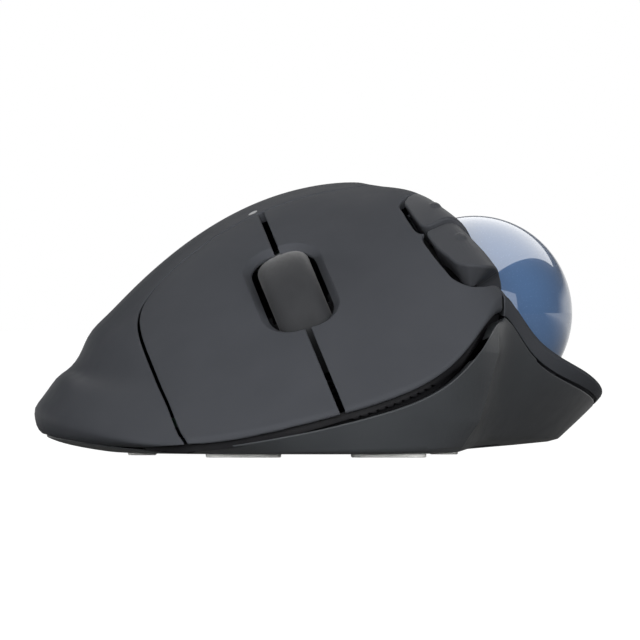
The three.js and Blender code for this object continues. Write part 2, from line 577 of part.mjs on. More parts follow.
function makeTyre() {
  const h = WHEEL.width / 2;
  const outer = [-1, -0.88, -0.6, 0, 0.6, 0.88, 1].map((t) => {
    const edge = 1.1 * Math.max(0, Math.abs(t) - 0.72) ** 1.6 * 7;
    return [WHEEL.radius - WHEEL.crown * t * t - edge, h * t];
  });
  const profile = [...outer, [WHEEL.rim + 0.02, h], [WHEEL.rim + 0.02, -h], outer[0]];
  return turned(profile, 28);
}
function makeHub() {
  const h = WHEEL.width / 2;
  const dish = [[8, h - 0.3], [7.6, h - 2.6], [3.4, h - 2.6], [3.4, h - 0.8]];
  const top = [[WHEEL.rim, h - 0.3], ...dish, [1.56, h - 0.8]];
  const below = top.map(([r, z]) => [r, -z]).reverse();
  return turned([...top, ...below, top[0]], 28);
}
piece("wheel_tyre", wheelPart(makeTyre()), "rubber");
piece("wheel_hub", wheelPart(makeHub()), "innards");
piece("wheel_axle", wheelPart(bar(AXLE.radius, -AXLE.length / 2 - 2, AXLE.length / 2, 16)), "steel");

function makeCarriage() {
  const c = CARRIAGE;
  const outer = c.inner + c.wall;
  const cheeks = [-1, 1].map((s) => {
    const [a, b] = s > 0 ? [c.inner, outer] : [-outer, -c.inner];
    const rail = span(at(a, -c.reach, c.low), at(b, c.reach, c.high));
    return rail.add(span(at(a, -c.ear, c.low + 1), at(b, c.ear, c.ear)));
  });
  const bars = [-1, 1].map((s) => {
    const [a, b] = s > 0 ? [c.reach - c.wall, c.reach] : [-c.reach, -c.reach + c.wall];
    return span(at(-outer, a, c.low), at(outer, b, c.high));
  });
  const tongue = span(at(-2, c.reach - 2, c.low), at(2, c.reach + 1.5, c.low + 1.2));
  const hole = facing(bar(AXLE.radius + 0.06, -20, 20, 16), at(1, 0, 0), at(0, 0, 0));
  const whole = union([...cheeks, ...bars, tongue]).subtract(hole);
  const leg = moved(bar(1.2, nibTop(MIDDLE_SWITCH), 15.6, 12), at(MIDDLE_SWITCH.x, MIDDLE_SWITCH.y, 0));
  return laidOnDeck(whole, W.x, W.y, W.z).add(leg);
}
piece("wheel_carriage", makeCarriage(), "innards");
const encoder = span(at(-10.4, -3.6, -5), at(-6.7, 3.6, 3.6));
const encoderBore = facing(bar(AXLE.radius + 0.06, -12, -5, 16), at(1, 0, 0), at(0, 0, 0));
piece("wheel_encoder", laidOnDeck(encoder.subtract(encoderBore), W.x, W.y, W.z), "board");
const springSeat = onDeck(W.x, W.y - CARRIAGE.reach + 0.65, W.z + CARRIAGE.low);
const wheelSpring = wire(new Coil(() => 1.9, springSeat.z - 1.6 - boardTop, 4), 0.3, 36);
piece("wheel_spring", moved(wheelSpring, at(springSeat.x, springSeat.y, boardTop + 0.35)), "steel");

// ---------------------------------------------------------------- boards and switches

function makeBoard() {
  const edge = [
    [-19, -54], [-17, -56.5], [9, -57.5], [17.5, -54], [19.4, -50], [19.4, -40], [8, -38], [6.2, -35],
    [6.2, -11.6], [5, -10.4], [-26, -10.4], [-27, -11.4], [-27, -22], [-19, -40],
  ];
  const outline = new THREE.Shape(edge.map(([x, y]) => new THREE.Vector2(x, y)));
  const plate = prism(outline, BOARD.low, BOARD.low + BOARD.thick);
  return cutAll(plate, BOARD_SCREWS.map((p) => moved(bar(1.1, 0, 10, 12), p)));
}
piece("main_board", makeBoard(), "board");
piece("control_chip", moved(block(7, 7, 1), at(-14, -27, boardTop + 0.5)), "innards");

function mainSwitch(name, where) {
  const s = SWITCH.size;
  const place = where.clone().setZ(boardTop);
  const upright = (x, y, from, to) => span(at(-x / 2, -y / 2, from), at(x / 2, y / 2, to));
  const nibRoom = upright(SWITCH.nib.x + 0.1, SWITCH.nib.y + 0.1, s.z - 1.4, s.z + 1);
  piece(name, moved(upright(s.x, s.y, 0, s.z).subtract(nibRoom), place), "innards");
  const nib = upright(SWITCH.nib.x, SWITCH.nib.y, s.z - 0.75, s.z + SWITCH.nib.z);
  piece(`${name}_plunger`, moved(nib, place), "nib");
}
mainSwitch("left_switch", LEFT_SWITCH);
mainSwitch("right_switch", RIGHT_SWITCH);

function tactSwitch(name, where) {
  const s = SIDE_SWITCH;
  const shape = block(s.x, s.y, s.z);
  const nibRoom = bar(KEY_NIB.radius + 0.1, s.z / 2 - 1, s.z, 14);
  piece(name, moved(shape.subtract(nibRoom), where), "innards");
  const nib = bar(KEY_NIB.radius, s.z / 2 - 0.35, s.z / 2 + KEY_NIB.tall, 14);
  piece(`${name}_plunger`, moved(nib, where), "nib");
}
tactSwitch("middle_switch", MIDDLE_SWITCH);
tactSwitch("forward_switch", FORWARD_SWITCH);
tactSwitch("back_switch", BACK_SWITCH);

// ---------------------------------------------------------------- battery and receiver

function makeBattery() {
  const [r, l] = [BATTERY.radius, BATTERY.length];
  const side = [[0, 0], [r - 0.8, 0], [r, 0.6], [r, l - 1.8], [r - 0.8, l - 1.2]];
  const can = turned([...side, [2.7, l - 1.2], [2.7, l], [0, l]], 28);
  return facing(can, BACK, BATTERY.at.clone().setY(BATTERY.at.y - l / 2), Z);
}
piece("battery", makeBattery(), "cell");
const endOf = (s) => BATTERY.at.clone().setY(BATTERY.at.y + (s * BATTERY.length) / 2);
const contact = span(at(-4, 0.1, -4), at(4, 0.6, 4));
piece("battery_contact", moved(contact, endOf(1)), "steel");
const cone = new Coil((t) => 2.2 + 2.8 * (1 - t), 3.2, 4);
piece("battery_spring", facing(wire(cone, 0.3, 32), BACK, endOf(-1).add(at(0, -3.6, 0)), Z), "steel");

const r = RECEIVER;
const cap = prism(roundRect(r.cap.x, r.cap.y, 1.4), -r.cap.z / 2, r.cap.z / 2);
piece("receiver_cap", moved(cap, r.at.clone().setY(r.at.y - 5.95)), "key");
const plugMouth = moved(block(r.plug.x - 0.8, 9, r.plug.z - 0.8), at(0, 2, 0));
const plug = block(r.plug.x, r.plug.y, r.plug.z).subtract(plugMouth);
piece("receiver_plug", moved(plug, r.at.clone().setY(r.at.y + 3.4)), "steel");

export default group;
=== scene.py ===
"""A cordless thumb-operated trackball mouse, seen from the front on a pale floor.

The case is one smooth skin. Each panel is the part of that skin inside its own edges: its triangles are
split along every edge and along lines beside it, the rows beside an edge are sunk to round it, and a wall
and an inner face close the panel. Sizes are in millimetres, in the CAD frame: +X is the thumb side, -Y the
front, +Z up.
"""

import json
import math
from collections import namedtuple

import bpy
import numpy as np
from mathutils import Matrix, Vector
from mathutils.bvhtree import BVHTree


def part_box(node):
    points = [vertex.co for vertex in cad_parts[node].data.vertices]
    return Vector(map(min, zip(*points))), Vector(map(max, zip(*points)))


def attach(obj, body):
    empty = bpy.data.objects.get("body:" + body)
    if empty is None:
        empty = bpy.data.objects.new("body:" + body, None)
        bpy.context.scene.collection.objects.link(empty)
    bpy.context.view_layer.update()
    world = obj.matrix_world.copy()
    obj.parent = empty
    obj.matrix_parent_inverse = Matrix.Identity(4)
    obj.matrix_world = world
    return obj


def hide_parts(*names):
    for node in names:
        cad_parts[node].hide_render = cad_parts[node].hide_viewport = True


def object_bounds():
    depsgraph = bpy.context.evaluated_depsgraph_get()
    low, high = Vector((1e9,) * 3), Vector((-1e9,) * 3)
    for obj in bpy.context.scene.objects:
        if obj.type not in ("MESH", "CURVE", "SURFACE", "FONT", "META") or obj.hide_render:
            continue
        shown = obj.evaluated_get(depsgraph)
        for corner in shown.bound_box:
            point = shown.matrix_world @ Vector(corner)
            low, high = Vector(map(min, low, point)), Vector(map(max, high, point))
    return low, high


MM = 0.001  # metres in a millimetre

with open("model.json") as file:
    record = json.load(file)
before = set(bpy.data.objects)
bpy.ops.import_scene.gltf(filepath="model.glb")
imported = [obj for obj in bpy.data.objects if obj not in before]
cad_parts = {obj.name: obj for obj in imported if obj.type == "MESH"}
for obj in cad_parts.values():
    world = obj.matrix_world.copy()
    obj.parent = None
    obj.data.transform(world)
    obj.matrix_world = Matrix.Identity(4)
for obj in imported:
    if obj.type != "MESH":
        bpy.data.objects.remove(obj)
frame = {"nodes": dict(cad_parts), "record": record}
CAD_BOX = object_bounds()

# ---------------------------------------------------------------- driving sizes, in millimetres

HEIGHT = 48.0
APEX = np.array([7.0, 4.0, HEIGHT])
FLOOR = 0.6  # underside of the case above the desk
CROWN = 0.2
COLUMNS = 240
ROWS = {"sole": 8, "foot": 3, "skirt": 18, "dome": 58}
SOFT_RIM = 0.8  # how far the crease along the rim is softened
SOFT_TOP = 3.0  # how far the dome's top is softened
WALL = 2.0
BUTTON_WALL = 1.5  # the two main buttons are thinner, so that they clear the pieces under them
KEY_DEPTH = 4.5
WING_GAP = 0.12  # the base's gap under the thumb wing
PRESS_ROOM = 0.25  # added to the base's gap under the right button's outer corner
GROOVE = {"least": 0.25, "more": 0.65}  # round the side keys, and what it grows by at the left and in front

ROLL = math.radians(22.5)  # the deck leans this much to the little-finger side
ACROSS = np.array([math.cos(ROLL), 0, math.sin(ROLL)])
BACK = np.array([0.0, 1.0, 0.0])
UP = np.array([-math.sin(ROLL), 0, math.cos(ROLL)])

BALL = np.array([27.2, -14.0, 24.9])
BALL_RADIUS = 17.0
BALL_CLEARANCE = 0.8
WHEEL = {"at": (6.8, -34.8, 22.6), "radius": 12.3, "width": 9.4, "rim": 9.4}
SLOT = {"middle": (6.8, -37.6), "size": (11.6, 21.2), "corner": 4.6}
SPLIT = {"at": 6.8, "width": 1.0}
LIGHT = (-11.6, -8.2)
GAP = 0.4
CORNER = 31.8  # across, where the main buttons end and the thumb wing starts

# Spokes round the case at even steps, from the front by way of the little-finger side: the rim's x, y and
# z, how full the dome above it is, the depths of the thumb scoop and the finger flare, how far and how
# sharply the skirt tucks under, how far its foot stands above the sole, the share of the way out to the
# foot over which the sole is flat, how far below the rim the upper shells end, and the gap to the base.
SPOKE_PARTS = ("x", "y", "z", "full", "scoop", "flare", "tuck", "curl", "lift", "sole", "drop", "gap")
SPOKES = np.array([
    [2, -67, 7.7, 1.72, 0, 0, 3.5, 1.6, 0, 0.86, 0.8, 1.5],
    [-22.5, -61.5, 2.8, 1.72, 0, 0, 6, 2, 0, 0.86, 0.5, 1],
    [-39, -42, 5, 1.9, 0, 1.2, 10, 3.5, 0, 0.86, 3, 0.4],
    [-48.2, -17, 7.6, 2.05, 0, 2.7, 13, 4.5, 0, 0.86, 4.2, 0.4],
    [-49.9, 9, 8.3, 2.08, 0, 3, 14, 4.5, 0, 0.86, 4.6, 0.4],
    [-45.5, 34, 7.8, 2, 0, 2.4, 12, 4, 0, 0.86, 4.4, 0.4],
    [-30.5, 55, 6.8, 2, 0, 1, 9, 3, 0, 0.86, 3.6, 0.4],
    [-9, 65.8, 6, 1.95, 0, 0.3, 8, 3, 0, 0.86, 3, 0.4],
    [13, 65.8, 6, 1.95, 0, 0, 8, 3, 0, 0.86, 3, 0.4],
    [33, 54.5, 6.8, 1.85, 2, 0, 12, 2.4, 0.8, 0.8, 2.4, 0.4],
    [45.5, 34, 8.8, 1.8, 8, 0, 12, 1.6, 1.3, 0.65, 1.8, 0.4],
    [50, 9, 10.8, 1.95, 15, 0, 8.5, 1.15, 1.7, 0.5, 1.4, 0.4],
    [46.5, -14, 14.8, 2.25, 18, 0, 10, 1.25, 1.6, 0.5, 2.4, 0.4],
    [38, -32, 20.6, 2.6, 15, 0, 11, 1.5, 1.3, 0.6, 3, 0.4],
    [31.8, -46, 27, 2.65, 0, 0, 9, 1.3, 0.8, 0.75, 2.6, 1.1],
    [23, -60, 16.2, 2.3, 0, 0, 5, 1.4, 0.2, 0.86, 0.9, 2.4],
])

# Outlines seen from above. The buttons' front runs out past the case.
PLATE = [
    (-22.6, -61.5), (-24, -58), (-26, -50.7), (-28, -42.9), (-30, -34.3), (-31, -28.3), (-31.3, -23.1),
    (-30.5, -18.8), (-28, -15.8), (-25, -14.2), (-20, -12.4), (-15, -11.2), (-10, -10.2), (-5, -9),
    (0, -7.6), (5, -6.4), (10, -5.6), (15, -6), (20, -8), (24, -14), (24, -22), (24, -33), (27.5, -40.5),
    (30.9, -42.4), (31.7, -44), (31.7, -47), (31.8, -52), (33, -62), (33, -72), (10, -76), (-20, -74),
]
BACK_KEY = [
    (14.9, -22.3), (15.5, -25.5), (16.6, -29.5), (18.1, -33), (20, -33.7), (23, -32.9), (27.8, -30.4),
    (31, -28), (29, -21), (24.5, -19.4), (19, -20), (16.2, -20.6),
]
FORWARD_KEY = [
    (18.8, -34.6), (20.1, -38.6), (22.2, -42.6), (24, -45.2), (26.4, -46.2), (28.8, -45.2), (30.4, -42.4),
    (31.2, -38.6), (31.6, -34.6), (30.4, -31.6), (27.9, -30.9), (23.6, -33.3), (20.3, -34.5),
]


def unit(v):
    return v / np.maximum(np.linalg.norm(v, axis=-1, keepdims=True), 1e-12)


# ---------------------------------------------------------------- the outer surface


def through_loop(values):
    """A smooth closed curve through evenly spaced values, as a uniform cubic B-spline of the turn."""
    n = len(values)
    spread = (4 * np.eye(n) + np.roll(np.eye(n), 1, 0) + np.roll(np.eye(n), -1, 0)) / 6
    control = np.linalg.solve(spread, values)

    def at(turn):
        along = np.mod(turn, 1) * n
        i = np.floor(along).astype(int)
        t = along - i
        p = [control[(i + k) % n] for k in (-1, 0, 1, 2)]
        near = (1 - t) ** 3 * p[0] + (3 * t**3 - 6 * t * t + 4) * p[1]
        return (near + (-3 * t**3 + 3 * t * t + 3 * t + 1) * p[2] + t**3 * p[3]) / 6

    return at


LOOP = {name: through_loop(SPOKES[:, i]) for i, name in enumerate(SPOKE_PARTS)}


def turn_finder(cx, cy):
    """The turn at which the rim lies in the same direction from a centre as a place seen from above."""
    turns = np.linspace(0, 1, 2049)
    angles = -np.unwrap(np.arctan2(LOOP["y"](turns) - cy, LOOP["x"](turns) - cx))

    def find(x, y):
        a = -np.arctan2(y - cy, x - cx)
        return np.interp(angles[0] + np.mod(a - angles[0], 2 * math.pi), angles, turns)

    return find


turn_from_middle = turn_finder(0, 0)
turn_from_apex = turn_finder(APEX[0], APEX[1])


def dome_height(x, y):
    turn = turn_from_apex(x, y)
    reach = np.hypot(LOOP["x"](turn) - APEX[0], LOOP["y"](turn) - APEX[1])
    return dome_z(turn, np.clip(1 - np.hypot(x - APEX[0], y - APEX[1]) / reach, 0, 1))


def dome_z(turn, f):
    power = LOOP["full"](turn)

    def fall(r):
        return (r * r + CROWN * CROWN) ** (power / 2) - CROWN**power

    z = HEIGHT - (HEIGHT - LOOP["z"](turn)) * fall(1 - f) / fall(np.ones_like(f))
    scoop = LOOP["scoop"](turn) * 6.75 * f * (1 - f) ** 2
    return z - scoop - LOOP["flare"](turn) * np.exp(-(((f - 0.12) / 0.038) ** 2))


def dome(turn, f):
    """The dome from the rim, at 0, to the apex, at 1, with the ridges near its top evened out."""
    x = LOOP["x"](turn) * (1 - f) + APEX[0] * f
    y = LOOP["y"](turn) * (1 - f) + APEX[1] * f
    z = dome_z(turn, f)
    reach = SOFT_TOP * np.clip((f - 0.3) / 0.5, 0, 1)
    total = z.copy()
    count = 1
    for ring, steps in ((0.5, 8), (1.0, 12)):
        for i in range(steps):
            a = 2 * math.pi * (i + 0.5 * ring) / steps
            total += dome_height(x + reach * ring * math.cos(a), y + reach * ring * math.sin(a))
            count += 1
    return np.stack([x, y, total / count], -1)


def skirt(turn, s):
    """The skirt from the rim, at 0, down to its foot, at 1."""
    x, y = LOOP["x"](turn), LOOP["y"](turn)
    size = 1 - LOOP["tuck"](turn) * s ** LOOP["curl"](turn) / np.hypot(x, y)
    foot = FLOOR + np.maximum(0, LOOP["lift"](turn))
    return np.stack([x * size, y * size, LOOP["z"](turn) * (1 - s) + foot * s], -1)


def evenly(path, count):
    """Each row of points along a path put at even distances along it."""
    steps = np.linalg.norm(np.diff(path, axis=1), axis=2)
    along = np.concatenate([np.zeros((len(path), 1)), np.cumsum(steps, axis=1)], axis=1)
    made = np.empty((len(path), count, 3))
    for i, (p, a) in enumerate(zip(path, along)):
        for k in range(3):
            made[i, :, k] = np.interp(np.linspace(0, a[-1], count), a, p[:, k])
    return made


def softened(path, reach):
    """A path with its corners softened over a reach; its two ends stay."""
    spacing = np.linalg.norm(np.diff(path, axis=1), axis=2).mean()
    size = max(1, int(3 * reach / spacing))
    weights = np.exp(-0.5 * (np.arange(-size, size + 1) * spacing / reach) ** 2)
    weights /= weights.sum()
    first = 2 * path[:, :1] - path[:, size:0:-1]
    last = 2 * path[:, -1:] - path[:, -2 : -size - 2 : -1]
    long = np.concatenate([first, path, last], axis=1)
    return sum(w * long[:, i : i + path.shape[1]] for i, w in enumerate(weights))


def body_skin():
    """The points and triangles of the whole outer surface, from the middle of the sole to the apex."""
    turn = (np.arange(COLUMNS) / COLUMNS)[:, None]
    fine = 120
    down = np.repeat(np.linspace(1, 0, fine)[None], COLUMNS, 0)
    up = np.repeat(np.linspace(0, 1, 3 * fine)[None], COLUMNS, 0)
    turns = np.repeat(turn, 3 * fine, 1)
    skirts = evenly(skirt(turns[:, :fine], down), fine)
    domes = evenly(dome(turns, up), 3 * fine)
    share = LOOP["sole"](turn)[..., None]
    edge = np.concatenate([skirts[:, :1, :2] * share, np.full((COLUMNS, 1, 1), FLOOR)], -1)
    foot = edge + (skirts[:, :1] - edge) * np.linspace(0, 1, 24)[None, :, None]
    parts = [foot[:, :-1], skirts[:, :-1], domes]
    marks = np.cumsum([0] + [p.shape[1] for p in parts])
    marks[-1] -= 1
    whole = np.concatenate(parts, axis=1)
    soft = softened(whole, SOFT_RIM)
    along = np.linalg.norm(np.diff(whole, axis=1), axis=2)
    along = np.concatenate([np.zeros((COLUMNS, 1)), along.cumsum(1)], 1)
    rim = marks[2]
    beside = np.exp(-(((along - along[:, rim : rim + 1]) / (2.4 * SOFT_RIM)) ** 2))[..., None]
    soft += beside * (whole[:, rim : rim + 1] - soft[:, rim : rim + 1])
    soft[:, -3:] = whole[:, -3:]
    widest = np.abs(soft).max((0, 1))[:2]
    soft[..., :2] *= np.minimum(1, (min(-CAD_BOX[0][0], CAD_BOX[1][0]) / MM - 0.03,
                                    min(-CAD_BOX[0][1], CAD_BOX[1][1]) / MM - 0.03) / widest)
    rows = [soft[:, :1] * np.array([k, k, 1]) for k in np.linspace(0, 1, ROWS["sole"] + 1)[1:-1]]
    for start, stop, name in zip(marks[:-1], marks[1:], ("foot", "skirt", "dome")):
        picks = np.linspace(start, stop, ROWS[name] + 1)[:-1].round().astype(int)
        rows.append(soft[:, picks])
    grid = np.concatenate(rows, axis=1)
    n, r = COLUMNS, grid.shape[1]
    points = np.concatenate([grid.reshape(-1, 3), [[0, 0, FLOOR]], [soft[:, -1].mean(0)]])
    i = np.arange(n)[:, None] * r
    j = (np.arange(n)[:, None] + 1) % n * r
    k = np.arange(r - 1)[None]
    a, b, c, d = i + k, i + k + 1, j + k, j + k + 1
    faces = [np.stack([a, b, c], -1).reshape(-1, 3), np.stack([c, b, d], -1).reshape(-1, 3)]
    i, j = i[:, 0], j[:, 0]
    faces.append(np.stack([np.full(n, n * r), i, j], -1))
    faces.append(np.stack([np.full(n, n * r + 1), j + r - 1, i + r - 1], -1))
    return points, np.concatenate(faces)


def corner_normals(points, faces):
    a, b, c = points[faces[:, 0]], points[faces[:, 1]], points[faces[:, 2]]
    return np.cross(b - a, c - a)


def point_normals(points, faces):
    total = np.zeros_like(points)
    face = corner_normals(points, faces)
    for k in range(3):
        np.add.at(total, faces[:, k], face)
    return unit(total)


# ---------------------------------------------------------------- fields that say where an edge runs

# A field gives, at each point, a number that is positive on the kept side, and its gradient.


def numeric(value):
    def field(points):
        step = 0.02
        slopes = [(value(points + step * e) - value(points - step * e)) / (2 * step) for e in np.eye(3)]
        return value(points), np.stack(slopes, -1)

    return field


def flipped(field):
    def other(points):
        value, slope = field(points)
        return -value, -slope

    return other


def smooth_loop(points, steps=9):
    """A closed centripetal Catmull-Rom curve through points seen from above."""
    p = np.array(points, float)
    n = len(p)
    made = []
    for i in range(n):
        a, b, c, d = (p[(i + k) % n] for k in (-1, 0, 1, 2))
        ka, kb, kc = (max(np.linalg.norm(v), 1e-6) ** 0.5 for v in (b - a, c - b, d - c))
        start = (b - a) / ka - (c - a) / (ka + kb) + (c - b) / kb
        end = (c - b) / kb - (d - b) / (kb + kc) + (d - c) / kc
        t = np.linspace(0, 1, steps, endpoint=False)[:, None]
        h = (2 * t**3 - 3 * t * t + 1, t**3 - 2 * t * t + t, -2 * t**3 + 3 * t * t, t**3 - t * t)
        made.append(h[0] * b + h[1] * start * kb + h[2] * c + h[3] * end * kb)
    return np.concatenate(made)


def outside_of(outline, margin=0.0):
    """Positive outside a smooth outline seen from above, grown by a margin."""
    loop = smooth_loop(outline)
    nxt = np.roll(loop, -1, 0)
    side = nxt - loop
    long = (side**2).sum(1)

    def field(points):
        value = np.empty(len(points))
        slope = np.zeros((len(points), 3))
        for s in range(0, len(points), 4000):
            q = points[s : s + 4000, None, :2]
            t = np.clip(((q - loop) * side).sum(2) / long, 0, 1)
            away = q - loop - t[..., None] * side
            far = (away**2).sum(2)
            near = far.argmin(1)
            pick = np.arange(len(near))
            y = q[..., 1]
            crosses = (loop[:, 1] > y) != (nxt[:, 1] > y)
            at = loop[:, 0] + (y - loop[:, 1]) * side[:, 0] / np.where(side[:, 1] == 0, 1e-9, side[:, 1])
            inside = (crosses & (q[..., 0] < at)).sum(1) % 2 == 1
            sign = np.where(inside, -1.0, 1.0)
            value[s : s + 4000] = sign * np.sqrt(far[pick, near]) - margin
            slope[s : s + 4000, :2] = sign[:, None] * unit(away[pick, near])
        return value, slope

    return field


def key_room(outline):
    """Positive outside a side key's hole: a wide groove on its left and in front, a hair elsewhere."""
    outside = outside_of(outline)

    def field(points):
        value, slope = outside(points)
        groove = np.clip(0.5 - 0.9 * slope[:, 0] - 0.5 * slope[:, 1], 0, 1)
        return value - GROOVE["least"] - GROOVE["more"] * groove, slope

    return field


def outside_rect(middle, size, corner, margin=0.0, right=np.array([1.0, 0, 0])):
    """Positive outside a rectangle with round corners that lies across right and back."""

    def value(points):
        u = np.abs(points @ right - middle[0]) - size[0] / 2 - margin + corner + margin
        v = np.abs(points[:, 1] - middle[1]) - size[1] / 2 - margin + corner + margin
        out = np.hypot(np.maximum(u, 0), np.maximum(v, 0)) + np.minimum(np.maximum(u, v), 0)
        return out - corner - margin

    return numeric(value)


def outside_circle(middle, radius):
    return numeric(lambda p: np.hypot(p[:, 0] - middle[0], p[:, 1] - middle[1]) - radius)


def beyond(direction, place):
    """Positive past a flat plane square to a direction."""
    return lambda points: (points @ direction - place, np.tile(direction, (len(points), 1)))


def off_ball(clearance):
    def field(points):
        away = points - BALL
        far = np.linalg.norm(away, axis=1)
        return far - BALL_RADIUS - clearance, away / far[:, None]

    return field


def above_seam(extra, lower=0.0):
    """Positive above a seam round the skirt, a multiple of the gap and a distance below the upper shells."""

    def value(points):
        turn = turn_from_middle(points[:, 0], points[:, 1])
        return points[:, 2] - (LOOP["z"](turn) - LOOP["drop"](turn) - extra * LOOP["gap"](turn) - lower)

    return numeric(value)


def below_seam(points):
    """Positive on the base: a gap below the upper shells, wide in front and narrow under the wing."""
    turn = turn_from_middle(points[:, 0], points[:, 1])
    under_wing = np.clip((points[:, 0] - CORNER) / 0.5, 0, 1) * (points[:, 1] < -30)
    gap = LOOP["gap"](turn) * (1 - under_wing) + WING_GAP * under_wing
    past_corner = np.clip((points[:, 0] + 30) / 6, 0, 1)
    before_split = np.clip((10 - points[:, 0]) / 10, 0, 1)
    gap += PRESS_ROOM * past_corner * before_split * (points[:, 1] < -30)
    return LOOP["z"](turn) - LOOP["drop"](turn) - gap - points[:, 2]


# ---------------------------------------------------------------- panels

Edge = namedtuple("Edge", "field radius chamfer", defaults=(0.3, False))


class Skin:
    """Triangles whose points carry a normal and a distance in from each edge."""

    def __init__(self, points, normals, faces, depths=None):
        self.points, self.normals, self.faces = points, normals, faces
        self.depths = depths if depths is not None else np.zeros((len(points), 0))

    def trimmed(self, keep):
        faces = self.faces[keep]
        used, back = np.unique(faces, return_inverse=True)
        return Skin(self.points[used], self.normals[used], back.reshape(-1, 3), self.depths[used])

    def edges(self):
        pairs = np.sort(self.faces[:, [0, 1, 1, 2, 2, 0]].reshape(-1, 2), axis=1)
        found, where = np.unique(pairs, axis=0, return_inverse=True)
        return found, where.reshape(-1, 3)

    def cut(self, edges, where, chosen, share):
        """Puts a point on each chosen edge at its share of the way, and splits the triangles there."""
        new = np.full(len(edges), -1)
        new[chosen] = len(self.points) + np.arange(chosen.sum())
        a, b = edges[chosen].T
        w = share[chosen][:, None]
        self.points = np.concatenate([self.points, self.points[a] * (1 - w) + self.points[b] * w])
        self.normals = np.concatenate([self.normals, unit(self.normals[a] * (1 - w) + self.normals[b] * w)])
        self.depths = np.concatenate([self.depths, self.depths[a] * (1 - w) + self.depths[b] * w])
        middles = new[where]
        count = (middles >= 0).sum(1)
        made = [self.faces[count == 0]]

        def turned(mask, start):
            rows = np.arange(len(start))
            order = [(start + k) % 3 for k in range(3)]
            corner = [self.faces[mask][rows, o] for o in order]
            return corner, [middles[mask][rows, o] for o in order]

        one = count == 1
        (p, q, r), (m, _, _) = turned(one, (middles[one] >= 0).argmax(1))
        made += [np.stack(t, -1) for t in ((p, m, r), (m, q, r))]
        two = count == 2
        (p, q, r), (m, _, k) = turned(two, ((middles[two] < 0).argmax(1) + 2) % 3)
        made += [np.stack(t, -1) for t in ((p, m, k), (m, q, r), (m, r, k))]
        three = count == 3
        (p, q, r), (m, n, k) = turned(three, np.zeros(three.sum(), int))
        made += [np.stack(t, -1) for t in ((p, m, k), (m, q, n), (k, n, r), (m, n, k))]
        self.faces = np.concatenate(made)

    def refine(self, band, target):
        """Halves the edges that are longer than a target and lie within a band of a panel's edge."""
        edges, where = self.edges()
        long = np.linalg.norm(self.points[edges[:, 0]] - self.points[edges[:, 1]], axis=1) > target
        near = (np.abs(self.depths) < band).any(1)
        chosen = long & (near[edges[:, 0]] | near[edges[:, 1]])
        self.cut(edges, where, chosen, np.full(len(edges), 0.5))

    def split_at(self, column, level, snap, ways):
        """Splits along the line where a distance has a level, first moving points close to it onto it."""
        off = self.depths[:, column] - level
        close = np.abs(off) < snap
        if ways is not None:
            self.points[close] -= off[close, None] * ways(self, column, close)
        self.depths[close, column] = level
        side = np.sign(self.depths[:, column] - level)
        edges, where = self.edges()
        a, b = edges.T
        chosen = side[a] * side[b] < 0
        va, vb = self.depths[a, column] - level, self.depths[b, column] - level
        share = np.where(chosen, va / np.where(chosen, va - vb, 1), 0)
        self.cut(edges, where, chosen, share)
        new = np.arange(len(self.points) - chosen.sum(), len(self.points))
        self.depths[new, column] = level


def measure(skin, edges):
    """Each point's distance along the surface from each edge, and the way in from it."""
    depths, ways = [], []
    for edge in edges:
        value, slope = edge.field(skin.points)
        flat = slope - (slope * skin.normals).sum(1)[:, None] * skin.normals
        steep = np.maximum(np.linalg.norm(flat, axis=1), 0.25)
        depths.append(value / steep)
        ways.append(flat / steep[:, None])
    return np.stack(depths, -1), ways


def sunk(depth, edge):
    """How far the surface sinks at a distance in from an edge, and how steeply."""
    u = np.clip(1 - depth / edge.radius, 0, 1)
    if edge.chamfer:
        soft = 0.1
        v = np.sqrt(u * u + soft * soft) - soft
        return edge.radius * 0.95 * v, np.where(u > 0, 0.95 * u / np.sqrt(u * u + soft * soft), 0)
    round_ = np.sqrt(np.maximum(1 - u * u, 0))
    return edge.radius * (1 - round_), np.minimum(u / np.maximum(round_, 0.08), 12)


def panel_skin(edges, source, target=0.7):
    """The part of a skin inside all its edges, fine beside them, with its edges rounded."""
    skin = Skin(source.points, source.normals, source.faces)
    skin.depths, _ = measure(skin, edges)
    skin = skin.trimmed((skin.depths[skin.faces].max(1) > -2).all(1))
    for _ in range(2):
        skin.depths, _ = measure(skin, edges)
        skin.refine(1.2, target)
    skin.depths, _ = measure(skin, edges)
    for k, edge in enumerate(edges):
        shares = (0, 0.3, 1) if edge.radius < 0.6 else (0, 0.07, 0.25, 0.55, 1)
        if edge.chamfer:
            shares = (0, 0.5, 0.9, 1.12)
        for share in shares:

            def ways(current, column, close, field=edge.field):
                value, slope = field(current.points[close])
                normals = current.normals[close]
                flat = slope - (slope * normals).sum(1)[:, None] * normals
                steep = np.linalg.norm(flat, axis=1)
                return flat * (steep / np.maximum(steep**2, 0.06))[:, None]

            skin.split_at(k, share * edge.radius, 0.05 * min(1, edge.radius / 0.5), ways)
        skin = skin.trimmed(skin.depths[skin.faces][:, :, k].mean(1) > 0)
    return skin


def rounded(skin, edges):
    """The panel's outer points and normals with the edges' rounding sunk in."""
    power = 4
    _, ways = measure(skin, edges)
    total = np.zeros(len(skin.points))
    parts = []
    for k, edge in enumerate(edges):
        sink, steep = sunk(np.maximum(skin.depths[:, k], 0), edge)
        total += sink**power
        parts.append((sink, steep, ways[k]))
    depth = total ** (1 / power)
    lean = np.zeros_like(skin.points)
    for sink, steep, way in parts:
        share = (sink / np.maximum(depth, 1e-9)) ** (power - 1)
        lean += (share * steep)[:, None] * unit(way)
    return skin.points - depth[:, None] * skin.normals, unit(skin.normals - lean)


